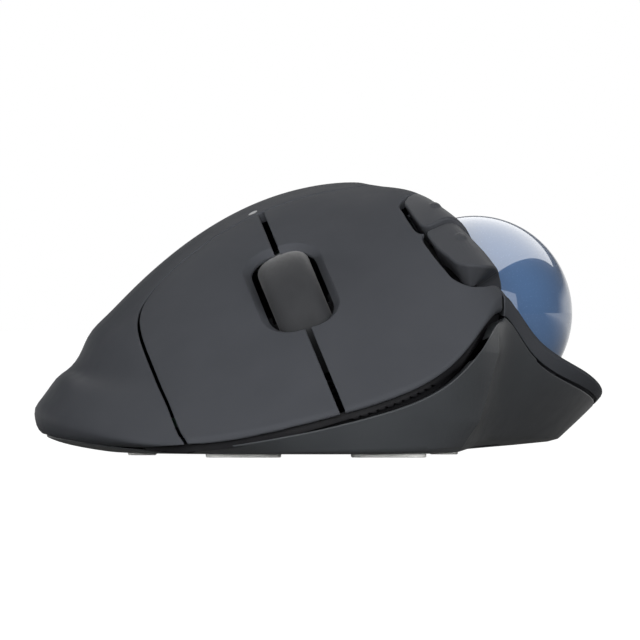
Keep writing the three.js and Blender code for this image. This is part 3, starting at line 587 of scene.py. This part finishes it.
def depth_inside(points):
    """How far each point lies inside the body, negative outside it."""
    deep = np.empty(len(points))
    for i, point in enumerate(points):
        near, normal, _, far = BODY_TREE.find_nearest(Vector(point))
        deep[i] = far if (near - Vector(point)).dot(normal) > 0 else -far
    return deep


def inner_face(skin, wall, edges):
    """The panel's inner points: a wall's thickness in, less where the body itself is thinner."""
    thin = np.full(len(skin.points), float(wall))
    for _ in range(4):
        shallow = depth_inside(skin.points - thin[:, None] * skin.normals) < 0.6 * thin
        thin[shallow] *= 0.5
    inner = kept_inside(skin.points - thin[:, None] * skin.normals, edges)
    out = depth_inside(inner) < 0.05
    inner[out] = (skin.points - 0.12 * skin.normals)[out]
    return inner


def kept_inside(points, edges):
    """Points pushed back to the kept side of every edge."""
    for edge in edges:
        value, slope = edge.field(points)
        move = np.maximum(0, -value) / np.maximum((slope**2).sum(1), 0.05)
        points = points + move[:, None] * slope
    return points


def closed_panel(skin, edges, wall, hollow=True):
    """Points, faces and corner normals of the closed panel: outer face, walls round it and inner face."""
    outer, normals = rounded(skin, edges)
    if hollow:
        inner = inner_face(skin, wall, edges)
    else:
        inner = kept_inside(skin.points - wall * skin.normals, edges)
    n = len(outer)
    faces = skin.faces
    pairs = faces[:, [0, 1, 1, 2, 2, 0]].reshape(-1, 2)
    keys = pairs[:, 0] * n + pairs[:, 1]
    rim = pairs[~np.isin(keys, pairs[:, 1] * n + pairs[:, 0])]
    a, b = rim.T
    quads = np.stack([b, a, a + n, b + n], -1)
    points = np.concatenate([outer, inner])
    p, q, _, r = (points[quads[:, k]] for k in range(4))
    flat = unit(np.cross(q - p, r - p))
    before, after = np.zeros((n, 3)), np.zeros((n, 3))
    after[a], before[b] = flat, flat
    both = unit(before + after)
    alike = (before * after).sum(1) > 0.8
    at_a = np.where(alike[a][:, None], both[a], flat)
    at_b = np.where(alike[b][:, None], both[b], flat)
    corner = np.concatenate([
        normals[faces].reshape(-1, 3),
        -skin.normals[faces[:, ::-1]].reshape(-1, 3),
        np.stack([at_b, at_a, at_a, at_b], 1).reshape(-1, 3),
    ])
    return points, faces.tolist() + (faces[:, ::-1] + n).tolist() + quads.tolist(), corner


def object_from(name, points, faces, normals=None):
    mesh = bpy.data.meshes.new(name)
    mesh.from_pydata((np.asarray(points) * MM).tolist(), [], faces)
    mesh.shade_smooth()
    if normals is not None:
        mesh.normals_split_custom_set(normals.tolist())
    made = bpy.data.objects.new(name, mesh)
    bpy.context.scene.collection.objects.link(made)
    return made


def dress(made, material, slot, body, *nodes):
    """Gives a piece its material, hangs it on the body it rides on, and hides the CAD nodes it stands for.
    """
    made.data.materials.clear()
    made.data.materials.append(material)
    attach(made, body)
    if nodes:
        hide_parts(*nodes)
    return made


def raised(rise, source):
    """A skin moved out by a height that depends on the place."""
    points = source.points + rise(source.points)[:, None] * source.normals
    return Skin(points, point_normals(points, source.faces), source.faces)


# Two soft fillings in the hollow above the finger flare: height, place across and up, width and length.
FLARE_FILLS = [(1.0, (-43.6, 14.6), (2.6, 3.2)), (0.5, (-40, 20.5), (3.5, 4.5))]


def flare_fill(points):
    x, z = points[:, 0], points[:, 2]
    total = np.zeros(len(points))
    for height, (at_x, at_z), (wide, long) in FLARE_FILLS:
        total += height * np.exp(-(((x - at_x) / wide) ** 2) - ((z - at_z) / long) ** 2)
    return total


POINTS, FACES = body_skin()
BODY = raised(flare_fill, Skin(POINTS, point_normals(POINTS, FACES), FACES))
BODY_TREE = BVHTree.FromPolygons(BODY.points.tolist(), FACES.tolist())


def panel(name, edges, wall=WALL, source=BODY, hollow=True):
    skin = panel_skin(edges, source)
    return object_from(name, *closed_panel(skin, edges, wall, hollow))


# ---------------------------------------------------------------- materials


class Nodes:
    """A short way to wire a material's nodes."""

    def __init__(self, name):
        self.material = bpy.data.materials.new(name)
        self.material.use_nodes = True
        self.tree = self.material.node_tree
        self.shader = self.tree.nodes["Principled BSDF"]
        coords = self.tree.nodes.new("ShaderNodeTexCoord")
        self.coords = coords.outputs["Object"]

    def add(self, kind, **settings):
        node = self.tree.nodes.new("ShaderNode" + kind)
        for key, value in settings.items():
            setattr(node, key, value)
        return node

    def link(self, source, target):
        self.tree.links.new(source, target)

    def noise(self, size_mm, detail=2.0, rough=0.5):
        node = self.add("TexNoise")
        node.inputs["Scale"].default_value = 1 / (size_mm * MM)
        node.inputs["Detail"].default_value = detail
        node.inputs["Roughness"].default_value = rough
        self.link(self.coords, node.inputs["Vector"])
        return node.outputs["Fac"]

    def ramp(self, source, low, high, start=0.3, end=0.7):
        node = self.add("MapRange")
        for name, value in (("From Min", start), ("From Max", end), ("To Min", low), ("To Max", high)):
            node.inputs[name].default_value = value
        self.link(source, node.inputs["Value"])
        return node.outputs["Result"]

    def blend(self, source, first, second, start=0.3, end=0.7):
        node = self.add("ValToRGB")
        node.color_ramp.elements[0].position, node.color_ramp.elements[1].position = start, end
        node.color_ramp.elements[0].color = (*first, 1)
        node.color_ramp.elements[1].color = (*second, 1)
        self.link(source, node.inputs["Fac"])
        return node.outputs["Color"]

    def bump(self, source, height_mm, strength=1.0, under=None):
        node = self.add("Bump")
        node.inputs["Strength"].default_value = strength
        node.inputs["Distance"].default_value = height_mm * MM
        self.link(source, node.inputs["Height"])
        if under is not None:
            self.link(under, node.inputs["Normal"])
        self.link(node.outputs["Normal"], self.shader.inputs["Normal"])
        return node.outputs["Normal"]

    def set(self, **values):
        for key, value in values.items():
            self.shader.inputs[key.replace("_", " ")].default_value = value


def plastic(name, dark, light, roughness, grain=0.22, grain_height=0.012, specular=0.5):
    """Moulded ABS: fine spark-eroded grain with slow, faint drifts of tone and gloss."""
    n = Nodes(name)
    n.link(n.blend(n.noise(9, 3), dark, light), n.shader.inputs["Base Color"])
    n.link(n.ramp(n.noise(3.5, 3), roughness - 0.03, roughness + 0.03), n.shader.inputs["Roughness"])
    n.bump(n.noise(grain, 3, 0.6), grain_height)
    n.set(Specular_IOR_Level=specular)
    return n.material


def soft_rubber():
    n = Nodes("soft_rubber")
    tone = n.blend(n.noise(2.5, 3), (0.0108, 0.0112, 0.012), (0.0124, 0.0128, 0.0138))
    n.link(tone, n.shader.inputs["Base Color"])
    n.link(n.ramp(n.noise(0.8, 2), 0.5, 0.58), n.shader.inputs["Roughness"])
    n.bump(n.noise(0.15, 2), 0.006)
    n.set(Specular_IOR_Level=0.1, Sheen_Weight=0.03, Sheen_Roughness=0.5)
    return n.material


def blue_ball():
    """A glossy lacquered ball with fine pale flecks under the lacquer."""
    n = Nodes("blue_ball")
    body = n.blend(n.noise(14, 2), (0.0186, 0.0428, 0.093), (0.0222, 0.050, 0.104))
    flecks = n.add("TexVoronoi", feature="F1")
    flecks.inputs["Scale"].default_value = 1 / (0.42 * MM)
    n.link(n.coords, flecks.inputs["Vector"])
    spots = n.ramp(flecks.outputs["Distance"], 0.5, 0.0, 0.05, 0.22)
    mix = n.add("Mix", data_type="RGBA")
    n.link(spots, mix.inputs["Factor"])
    n.link(body, mix.inputs["A"])
    mix.inputs["B"].default_value = (0.08, 0.125, 0.21, 1)
    n.link(mix.outputs["Result"], n.shader.inputs["Base Color"])
    n.link(n.ramp(n.noise(0.3, 2), 0.32, 0.42), n.shader.inputs["Roughness"])
    n.bump(n.noise(0.2, 2), 0.001, 0.4)
    n.set(Coat_Weight=1.0, Coat_Roughness=0.02, Coat_IOR=2.2, Specular_IOR_Level=0.3)
    return n.material


def metal(name, colour, roughness):
    n = Nodes(name)
    pale = tuple(min(1, c * 1.12) for c in colour)
    n.link(n.blend(n.noise(1.5, 3), colour, pale), n.shader.inputs["Base Color"])
    n.link(n.ramp(n.noise(0.4, 3), roughness - 0.05, roughness + 0.08), n.shader.inputs["Roughness"])
    n.bump(n.noise(0.12, 2), 0.002)
    n.set(Metallic=1.0)
    return n.material


MATERIALS = {
    "case": plastic("graphite_case", (0.0225, 0.0238, 0.0268), (0.0245, 0.0258, 0.029), 0.4, specular=0.005),
    "base": plastic("graphite_base", (0.0165, 0.0179, 0.0195), (0.0186, 0.020, 0.0217), 0.36, specular=0.3),
    "key": plastic("graphite_key", (0.019, 0.020, 0.0225), (0.021, 0.022, 0.0245), 0.4, specular=0.03),
    "rubber": soft_rubber(),
    "ball": blue_ball(),
    # The innards' near-black is the inner parts' own dark plastic, made darker still as painted shade for
    # the sheets in the seam gaps.
    "innards": plastic("black_innards_and_painted_shade", (0.004, 0.004, 0.0045), (0.006, 0.006, 0.0065), 0.55, specular=0.1),
    "steel": metal("bright_steel", (0.55, 0.56, 0.58), 0.3),
    "bearing": plastic("ceramic", (0.75, 0.72, 0.66), (0.8, 0.77, 0.72), 0.18, 0.5, 0.001),
    "board": plastic("circuit_board", (0.010, 0.060, 0.028), (0.014, 0.075, 0.036), 0.4, 0.8, 0.01),
    "lens": plastic("clear_lens", (0.07, 0.072, 0.075), (0.08, 0.082, 0.085), 0.4, 0.6, 0.001),
    "foot": plastic("slick_foot", (0.56, 0.56, 0.54), (0.62, 0.62, 0.60), 0.3, 0.4, 0.004),
    "nib": plastic("red_nib", (0.35, 0.035, 0.025), (0.42, 0.045, 0.03), 0.4),
    "cell": plastic("cell_wrap", (0.03, 0.07, 0.16), (0.04, 0.085, 0.19), 0.3, 0.5, 0.003),
}

# ---------------------------------------------------------------- the case

UPRIGHT = np.array([0.0, 0.0, 1.0])
upper_edge = Edge(above_seam(0), 0.22)
lip_edge = Edge(above_seam(0), 1.7)
ball_edge = Edge(off_ball(BALL_CLEARANCE), 0.6)
plate_outside = Edge(outside_of(PLATE, GAP), 0.25)
plate_inside = Edge(flipped(outside_of(PLATE)), 0.35)
slot_edge = Edge(outside_rect(SLOT["middle"], SLOT["size"], SLOT["corner"], right=ACROSS), 1.25, True)
key_rooms = [Edge(key_room(k), 0.25) for k in (BACK_KEY, FORWARD_KEY)]
light_room = Edge(outside_circle(LIGHT, 0.8), 0.15)

CASE_PARTS = {
    "palm_shell": ("case", [upper_edge, plate_outside, *key_rooms, ball_edge, light_room]),
    "left_button": ("left_button", [
        lip_edge, plate_inside, Edge(beyond(ACROSS, SPLIT["at"] + SPLIT["width"] / 2), 0.25),
        slot_edge, *key_rooms, ball_edge,
    ]),
    "right_button": ("right_button", [
        lip_edge, plate_inside, Edge(beyond(-ACROSS, SPLIT["width"] / 2 - SPLIT["at"]), 0.25), slot_edge,
    ]),
}
for part, (its_body, its_edges) in CASE_PARTS.items():
    wall = WALL if part == "palm_shell" else BUTTON_WALL
    dress(panel(part + "_shell", its_edges, wall), MATERIALS["case"], "case", its_body, part)


def finer(source, far, target, times):
    """The skin with its long edges halved, over and over, wherever a distance is under a millimetre."""
    skin = Skin(source.points, source.normals, source.faces)
    for _ in range(times):
        skin.depths = far(skin.points)[:, None]
        skin.refine(1.0, target)
    return Skin(skin.points, skin.normals, skin.faces)


def flat_sheet(low, high, step):
    """A fine flat skin that faces down at the level of the sole."""
    x = np.arange(low[0], high[0], 2 * step)
    y = np.arange(low[1], high[1], step)
    points = np.stack(np.meshgrid(x, y, indexing="ij"), -1).reshape(-1, 2)
    points = np.column_stack([points, np.full(len(points), FLOOR)])
    i, j = np.meshgrid(np.arange(len(x) - 1), np.arange(len(y) - 1), indexing="ij")
    a = (i * len(y) + j).ravel()
    b, c, d = a + 1, a + len(y), a + len(y) + 1
    faces = np.concatenate([np.stack([a, b, c], -1), np.stack([c, b, d], -1)])
    return Skin(points, point_normals(points, faces), faces)


# ---------------------------------------------------------------- the base

# The fold that runs down the base from the wing's top corner: across and up, from the top.
CREASE = np.array([
    (31.3, 24.0), (30.0, 21.0), (28.2, 15.0), (27.1, 10.5), (25.6, 6.0), (24.3, 2.0), (23.8, 0.0),
])
CREASE_HEIGHT = 2.0
CREASE_FALL = {"finger_side": 2.6, "thumb_side": 1.2}


def off_crease(points):
    """How far to the thumb side of the fold each point lies."""
    return (points[:, 0] - np.interp(points[:, 2], CREASE[::-1, 1], CREASE[::-1, 0])) * 0.93


def crease_rise(points):
    """How far the fold stands out: it is steep on its thumb side and dies away at both ends."""
    off = off_crease(points)
    ridge = np.exp(np.where(off < 0, off / CREASE_FALL["finger_side"], -off / CREASE_FALL["thumb_side"]))
    fade = np.clip((23.5 - points[:, 2]) / 5, 0, 1) * np.clip(points[:, 2] / 6 - 0.1, 0, 1)
    return CREASE_HEIGHT * ridge * fade * (points[:, 1] < -20)


def near_crease(points):
    """Nought in a band along the fold, and growing away from it."""
    return np.where(points[:, 1] < -20, np.maximum(np.abs(off_crease(points) + 1) - 3, 0), 9)


DOOR = {"middle": (-8, 19.65), "size": (37, 54.3), "corner": 4}
SWITCH_SLOT = {"middle": (-12, -32), "size": (9.8, 4.4), "corner": 1.2}
CONNECT_HOLE = {"middle": (5, -36), "radius": 2.35}
EJECT_HOLE = 4.5
SCREW_HOLE = 2.4
FEET = {
    "foot_front_inner": ((12, -51.5), (13, 6)),
    "foot_front_outer": ((-13, -51.5), (13, 6)),
    "foot_finger_side": ((-31, 3), (5, 16)),
    "foot_thumb_side": ((22, 19), (5, 16)),
    "foot_rear": ((2, 53.2), (24, 5)),
}
SCREWS = [(-32, -12), (-32.5, 30), (17, 45), (18.5, 14)]

base_edge = Edge(numeric(below_seam), 0.25)
base_holes = [Edge(outside_rect(at, size, min(size) * 0.45, 0.3), 0.2) for at, size in FEET.values()]
base_holes.append(Edge(outside_rect(**DOOR, margin=GAP), 0.3))
base_holes.append(Edge(outside_circle(BALL[:2], EJECT_HOLE), 0.5))
base_holes.append(Edge(outside_rect(**SWITCH_SLOT), 0.3))
base_holes.append(Edge(outside_circle(**CONNECT_HOLE), 0.3))
base_holes += [Edge(outside_circle(at, SCREW_HOLE), 0.25) for at in SCREWS]
base_skin = raised(crease_rise, finer(BODY, near_crease, 0.35, 3))
base = panel("bottom_case_shell", [base_edge, *base_holes], source=base_skin)
dress(base, MATERIALS["base"], "base", "case", "bottom_case")

# A near-black band sunk just inside the front seam, up to the wing's corner: painted shade, so that the gap
# at the seam reads dark.
shade_lip_edges = [
    Edge(above_seam(1, 1.5), 0.2), Edge(flipped(above_seam(0, -0.3)), 0.2),
    Edge(beyond(np.array([-1.0, 0, 0]), -CORNER), 0.2), Edge(beyond(-BACK, 42), 0.2),
]
shade_lip_skin = raised(lambda p: np.interp(p[:, 0], [27, CORNER], [-3.0, -1.4]), BODY)
seam_shade_lip = panel("bottom_case_front_shade_lip", shade_lip_edges, 0.8, shade_lip_skin, hollow=False)
dress(seam_shade_lip, MATERIALS["innards"], "innards", "case", "bottom_case")


def rear_shade_lip():
    """A near-black upright band inside the seam round the rear, so that the gap has a floor: painted shade,
    so that the gap reads dark.
    """
    turn = np.linspace(0, 1, 361)[:-1]
    rim = np.column_stack([LOOP["x"](turn), LOOP["y"](turn)])
    seam = LOOP["z"](turn) - LOOP["drop"](turn)
    at = np.flatnonzero(rim[:, 1] > 32)
    along = unit(np.gradient(rim[at], axis=0))
    inward = np.column_stack([-along[:, 1], along[:, 0]])
    inward *= np.sign((inward * -rim[at]).sum())
    rings = []
    for inset, rise in ((2.8, 0.6), (3.6, 0.6), (3.6, -1.2), (2.8, -1.2)):
        rings.append(np.column_stack([rim[at] + inset * inward, seam[at] + rise]))
    n = len(at)
    start = [k * n + i for k in range(4) for i in range(n - 1)]
    faces = [[s, s + 1, (s + 1 + n) % (4 * n), (s + n) % (4 * n)] for s in start]
    faces += [[3 * n, 2 * n, n, 0], [n - 1, 2 * n - 1, 3 * n - 1, 4 * n - 1]]
    return object_from("bottom_case_rear_lip", np.concatenate(rings), faces)


dress(rear_shade_lip(), MATERIALS["innards"], "innards", "case", "bottom_case")

door_edges = [Edge(flipped(outside_rect(**DOOR)), 0.35)]


def door_ribs(points):
    """Grip ribs across the rear end of the door, sunk into its face."""
    along = np.clip((points[:, 1] - 34) / 1, 0, 1) * np.clip((43 - points[:, 1]) / 1, 0, 1)
    beside = np.clip((11 - np.abs(points[:, 0] - DOOR["middle"][0])) / 1.2, 0, 1)
    return -0.45 * along * beside * (0.5 - 0.5 * np.cos(2 * math.pi * points[:, 1] / 2.4))


door_sheet = raised(door_ribs, flat_sheet((-28, -9), (12, 48.5), 0.5))
door = panel("battery_door_cover", door_edges, 1.8, door_sheet, hollow=False)
dress(door, MATERIALS["base"], "base", "battery_door", "battery_door")

# ---------------------------------------------------------------- side keys


def key_rise(front, rear, most, least):
    """Proud of the case at the front and flush at the rear and at the side next to the main button."""

    def rise(p):
        along = np.interp(p[:, 1], [front, rear], [most, least])
        return along * (0.3 + 0.7 * np.clip((p[:, 0] - 19.5 - 0.15 * (p[:, 1] - front)) / 7, 0, 1))

    return rise


def pip_rise(place):
    """A small raised touch mark."""

    def rise(p):
        return 0.4 * np.exp(-(((p[:, 0] - place[0]) / 0.9) ** 2 + ((p[:, 1] - place[1]) / 1.0) ** 2) ** 2)

    return rise


def near(place, reach):
    """Nought within reach of a place seen from above, and growing away from it."""
    return lambda p: np.maximum(np.hypot(p[:, 0] - place[0], p[:, 1] - place[1]) - reach, 0)


KEYS = {
    "forward_button": (FORWARD_KEY, key_rise(-45.5, -31, 2.3, 0.3), (24.6, -38.2)),
    "back_button": (BACK_KEY, key_rise(-33.5, -20, 1.5, 0.0), (20.2, -27.6)),
}
for key, (outline, rise, pip) in KEYS.items():
    its_edges = [
        Edge(flipped(outside_of(outline, 0.12)), 0.45), Edge(off_ball(BALL_CLEARANCE + 0.3), 0.4),
        Edge(beyond(UPRIGHT, 25), 0.3),
    ]
    fine = finer(BODY, near(pip, 1.5), 0.25, 4)
    cap = panel(key + "_cap", its_edges, KEY_DEPTH, raised(pip_rise(pip), raised(rise, fine)), hollow=False)
    dress(cap, MATERIALS["key"], "key", key, key)

# ---------------------------------------------------------------- ball and wheel


def lathe(profile, around):
    """Points and faces of a closed body turned about +Z; the profile starts and ends on the axis."""
    inner = profile[1:-1]
    points = [(0, 0, profile[0][1]), (0, 0, profile[-1][1])]
    for i in range(around):
        a = 2 * math.pi * i / around
        points += [(r * math.cos(a), r * math.sin(a), z) for r, z in inner]
    n = len(inner)
    faces = []
    for i in range(around):
        p, q = 2 + i * n, 2 + (i + 1) % around * n
        faces.append((0, q, p))
        faces.append((1, p + n - 1, q + n - 1))
        faces += [(p + k, q + k, q + k + 1, p + k + 1) for k in range(n - 1)]
    return np.array(points, float), faces


def ring_lathe(profile, around):
    """Points and faces of a closed ring turned about +Z from a closed profile."""
    n = len(profile)
    points = []
    for i in range(around):
        a = 2 * math.pi * i / around
        points += [(r * math.cos(a), r * math.sin(a), z) for r, z in profile]
    faces = []
    for i in range(around):
        p, q = i * n, (i + 1) % around * n
        faces += [(p + k, q + k, q + (k + 1) % n, p + (k + 1) % n) for k in range(n)]
    return np.array(points, float), faces


def ball_profile(radius, steps):
    return [(radius * math.sin(a), -radius * math.cos(a)) for a in np.linspace(0, math.pi, steps + 1)]


points, faces = lathe(ball_profile(BALL_RADIUS, 64), 128)
ball = object_from("trackball_ball", points + BALL, faces)
dress(ball, MATERIALS["ball"], "ball", "trackball", "trackball")


def tyre_profile():
    half = WHEEL["width"] / 2
    rise = WHEEL["radius"] - WHEEL["rim"]
    crown = []
    for t in np.linspace(-1, 1, 25):
        s = math.sin(t * math.pi / 2)
        crown.append((WHEEL["rim"] + 0.3 + (rise - 0.3) * (1 - abs(s) ** 2.6) ** (1 / 2.3), half * s))
    return [(WHEEL["rim"] + 0.02, -half)] + crown + [(WHEEL["rim"] + 0.02, half)]


deck = np.stack([ACROSS, BACK, UP])
points, faces = ring_lathe(tyre_profile(), 96)
points = points @ np.array([[0, 1.0, 0], [0, 0, 1.0], [1.0, 0, 0]])
dress(
    object_from("wheel_tyre_rubber", (points + np.array(WHEEL["at"])) @ deck, faces),
    MATERIALS["rubber"], "rubber", "wheel", "wheel_tyre",
)

# ---------------------------------------------------------------- underside


def slab(name, middle, size, corner, low, high, edge=0.25):
    """A flat piece with round corners whose lower edge is rounded."""
    outline = []
    for k in range(4):
        cx = middle[0] + (size[0] / 2 - corner) * (1, -1, -1, 1)[k]
        cy = middle[1] + (size[1] / 2 - corner) * (1, 1, -1, -1)[k]
        outline += [(cx, cy, a) for a in np.linspace(k, k + 1, 9) * math.pi / 2]
    outline = np.array(outline)
    bend = np.linspace(0, math.pi / 2, 5)
    rows = [(edge * (1 - math.sin(t)), low + edge * (1 - math.cos(t))) for t in bend]
    rows.append((0, high))
    points = []
    for inset, z in rows:
        r = corner - inset
        points += [(x + r * math.cos(a), y + r * math.sin(a), z) for x, y, a in outline]
    n = len(outline)
    faces = [tuple(range(n))[::-1], tuple(range((len(rows) - 1) * n, len(rows) * n))]
    for k in range(len(rows) - 1):
        for i in range(n):
            j = (i + 1) % n
            faces.append((k * n + i, k * n + j, (k + 1) * n + j, (k + 1) * n + i))
    made = object_from(name, points, faces)
    made.data.set_sharp_from_angle(angle=math.radians(35))
    return made


def box_of(node):
    low, high = (np.array(corner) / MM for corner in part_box(node))
    return low, high


for node, (middle, size) in FEET.items():
    low, high = box_of(node)
    pad = slab(node + "_pad", middle, size, min(size) * 0.45, low[2], high[2])
    dress(pad, MATERIALS["foot"], "foot", "case", node)

for node in ("power_switch", "connect_button"):
    low, high = box_of(node)
    middle, size = (low + high) / 2, high - low
    knob = slab(node + "_knob", middle[:2], size[:2], 0.49 * min(size[:2]), low[2], high[2], 0.3)
    dress(knob, MATERIALS["key"], "key", node, node)

# ---------------------------------------------------------------- carried-over CAD nodes

for row in frame["record"]["subparts"]:
    for place in frame["nodes"][row["node"]].material_slots:
        place.material = MATERIALS[row["material_slot"]]
# The wheel's steel axle and spring get the near-black innards colour in place of steel: painted shade, so
# that they show no glint through the buttons' split.
for node in ("wheel_axle", "wheel_spring"):
    for place in frame["nodes"][node].material_slots:
        place.material = MATERIALS["innards"]

# ---------------------------------------------------------------- stage, light and camera

AROUND = 0.14  # how bright the room is, next to the picture's white
SCREEN = 0.7
CEILING = 1.8
OVERHEAD = 0.3
FRONT = 0.9
FILL = 18.5
SIDE = 17.0

PX_PER_MM = 5.7
PICTURE = 640


def make_floor():
    mesh = bpy.data.meshes.new("floor")
    s = 30.0
    mesh.from_pydata([(-s, -s, 0), (s, -s, 0), (s, s, 0), (-s, s, 0)], [], [(0, 1, 2, 3)])
    floor = bpy.data.objects.new("floor", mesh)
    bpy.context.scene.collection.objects.link(floor)
    n = Nodes("pale_floor")
    n.link(n.blend(n.noise(300, 2), (0.09, 0.09, 0.09), (0.10, 0.10, 0.10)), n.shader.inputs["Base Color"])
    n.set(Roughness=1.0, Specular_IOR_Level=0.0, Emission_Color=(1, 1, 1, 1))
    seen = n.add("LightPath").outputs["Is Camera Ray"]
    split = n.add("SeparateXYZ")
    n.link(n.coords, split.inputs["Vector"])
    behind = n.ramp(split.outputs["Y"], 0.08, 0.7, 0.0, 0.2)
    glow = n.add("Mix", data_type="FLOAT")
    n.link(seen, glow.inputs["Factor"])
    n.link(behind, glow.inputs["A"])
    glow.inputs["B"].default_value = 1.0
    n.link(glow.outputs["Result"], n.shader.inputs["Emission Strength"])
    below = n.add("NewGeometry").outputs["Backfacing"]
    clear, pick = n.add("BsdfTransparent"), n.add("MixShader")
    n.link(below, pick.inputs["Fac"])
    n.link(n.shader.outputs["BSDF"], pick.inputs[1])
    n.link(clear.outputs["BSDF"], pick.inputs[2])
    n.link(pick.outputs["Shader"], n.tree.nodes["Material Output"].inputs["Surface"])
    mesh.materials.append(n.material)


def softbox(name, middle, right, up, size, radiance):
    """A rectangular light that shines along right x up, as bright as its radiance says."""
    data = bpy.data.lights.new(name, "AREA")
    data.shape = "RECTANGLE"
    data.size, data.size_y = size
    data.energy = radiance * math.pi * size[0] * size[1]
    lamp = bpy.data.objects.new(name, data)
    x, y = Vector(right).normalized(), Vector(up).normalized()
    z = x.cross(y)
    lamp.matrix_world = Matrix((x, y, z)).transposed().to_4x4()
    lamp.location = middle
    bpy.context.scene.collection.objects.link(lamp)
    return lamp


def make_light():
    world = bpy.data.worlds.new("studio")
    bpy.context.scene.world = world
    world.use_nodes = True
    tree = world.node_tree
    background = tree.nodes["Background"]
    background.inputs["Color"].default_value = (1, 1, 1, 1)
    light_path = tree.nodes.new("ShaderNodeLightPath")
    direction = tree.nodes.new("ShaderNodeTexCoord")
    split = tree.nodes.new("ShaderNodeSeparateXYZ")
    tree.links.new(direction.outputs["Generated"], split.inputs["Vector"])

    def ramp(source, low, high, start, end):
        node = tree.nodes.new("ShaderNodeMapRange")
        for name, value in (("From Min", start), ("From Max", end), ("To Min", low), ("To Max", high)):
            node.inputs[name].default_value = value
        tree.links.new(source, node.inputs["Value"])
        return node.outputs["Result"]

    def combine(operation, a, b):
        node = tree.nodes.new("ShaderNodeMath")
        node.operation = operation
        for value, target in ((a, node.inputs[0]), (b, node.inputs[1])):
            if isinstance(value, float):
                target.default_value = value
            else:
                tree.links.new(value, target)
        return node.outputs["Value"]

    # A white screen stands low behind the object, to be mirrored only; the rest of the room is dim.
    behind = ramp(split.outputs["Y"], 0, 1, 0.45, 0.7)
    screen = combine("MULTIPLY", behind, ramp(split.outputs["Z"], 1, 0, 0.1, 0.2))
    shown = combine("SUBTRACT", 1.0, light_path.outputs["Is Diffuse Ray"])
    screen = combine("MULTIPLY", screen, shown)
    room = combine("ADD", combine("MULTIPLY", screen, SCREEN), AROUND)
    strength = combine("MAXIMUM", room, light_path.outputs["Is Camera Ray"])
    tree.links.new(strength, background.inputs["Strength"])
    # The ceiling's right rear corner, seen from the ball, is 1.73 across and 2.15 back for each unit up.
    ball = Vector(BALL) * MM
    along = Vector((-0.374, -0.927, 0))
    left = Vector((-0.927, 0.374, 0))
    tall = 1.0
    size = Vector((2.4, 3.4))
    corner = ball + Vector((1.73 * tall, 2.15 * tall, tall))
    middle = corner + left * size[0] / 2 + along * size[1] / 2
    ceiling = softbox("ceiling_softbox", middle, -left, -along, size, CEILING)
    ceiling.visible_diffuse = False
    overhead = softbox("overhead_fill", middle, -left, -along, size, OVERHEAD)
    overhead.visible_glossy = False
    softbox("front_softbox", (-0.17, -1.6, 0.42), (1, 0, 0), (0, 0, 1), (4.4, 1.1), FRONT)
    fill = softbox("front_fill", (0.2, -1.9, 0.35), (1, 0.1, 0), (0, -0.1, 1), (2.6, 1.4), FILL)
    fill.visible_glossy = False
    side = softbox("side_fill", (-1.8, -0.25, 0.12), (0, -1, 0), (0, 0, 1), (1.2, 0.5), SIDE)
    side.visible_glossy = False


def make_camera():
    data = bpy.data.cameras.new("camera")
    data.type = "PERSP"
    data.sensor_width = 36
    data.lens = 900
    wide = PICTURE / PX_PER_MM * MM
    far = wide * data.lens / data.sensor_width
    camera = bpy.data.objects.new("camera", data)
    camera.location = (0.18 * MM, -far, 23.68 * MM)
    camera.rotation_euler = (math.radians(90), 0, 0)
    data.clip_start, data.clip_end = 0.05, 60
    bpy.context.scene.collection.objects.link(camera)
    bpy.context.scene.camera = camera


make_floor()
make_light()
make_camera()
bpy.context.scene.view_settings.view_transform = "Standard"
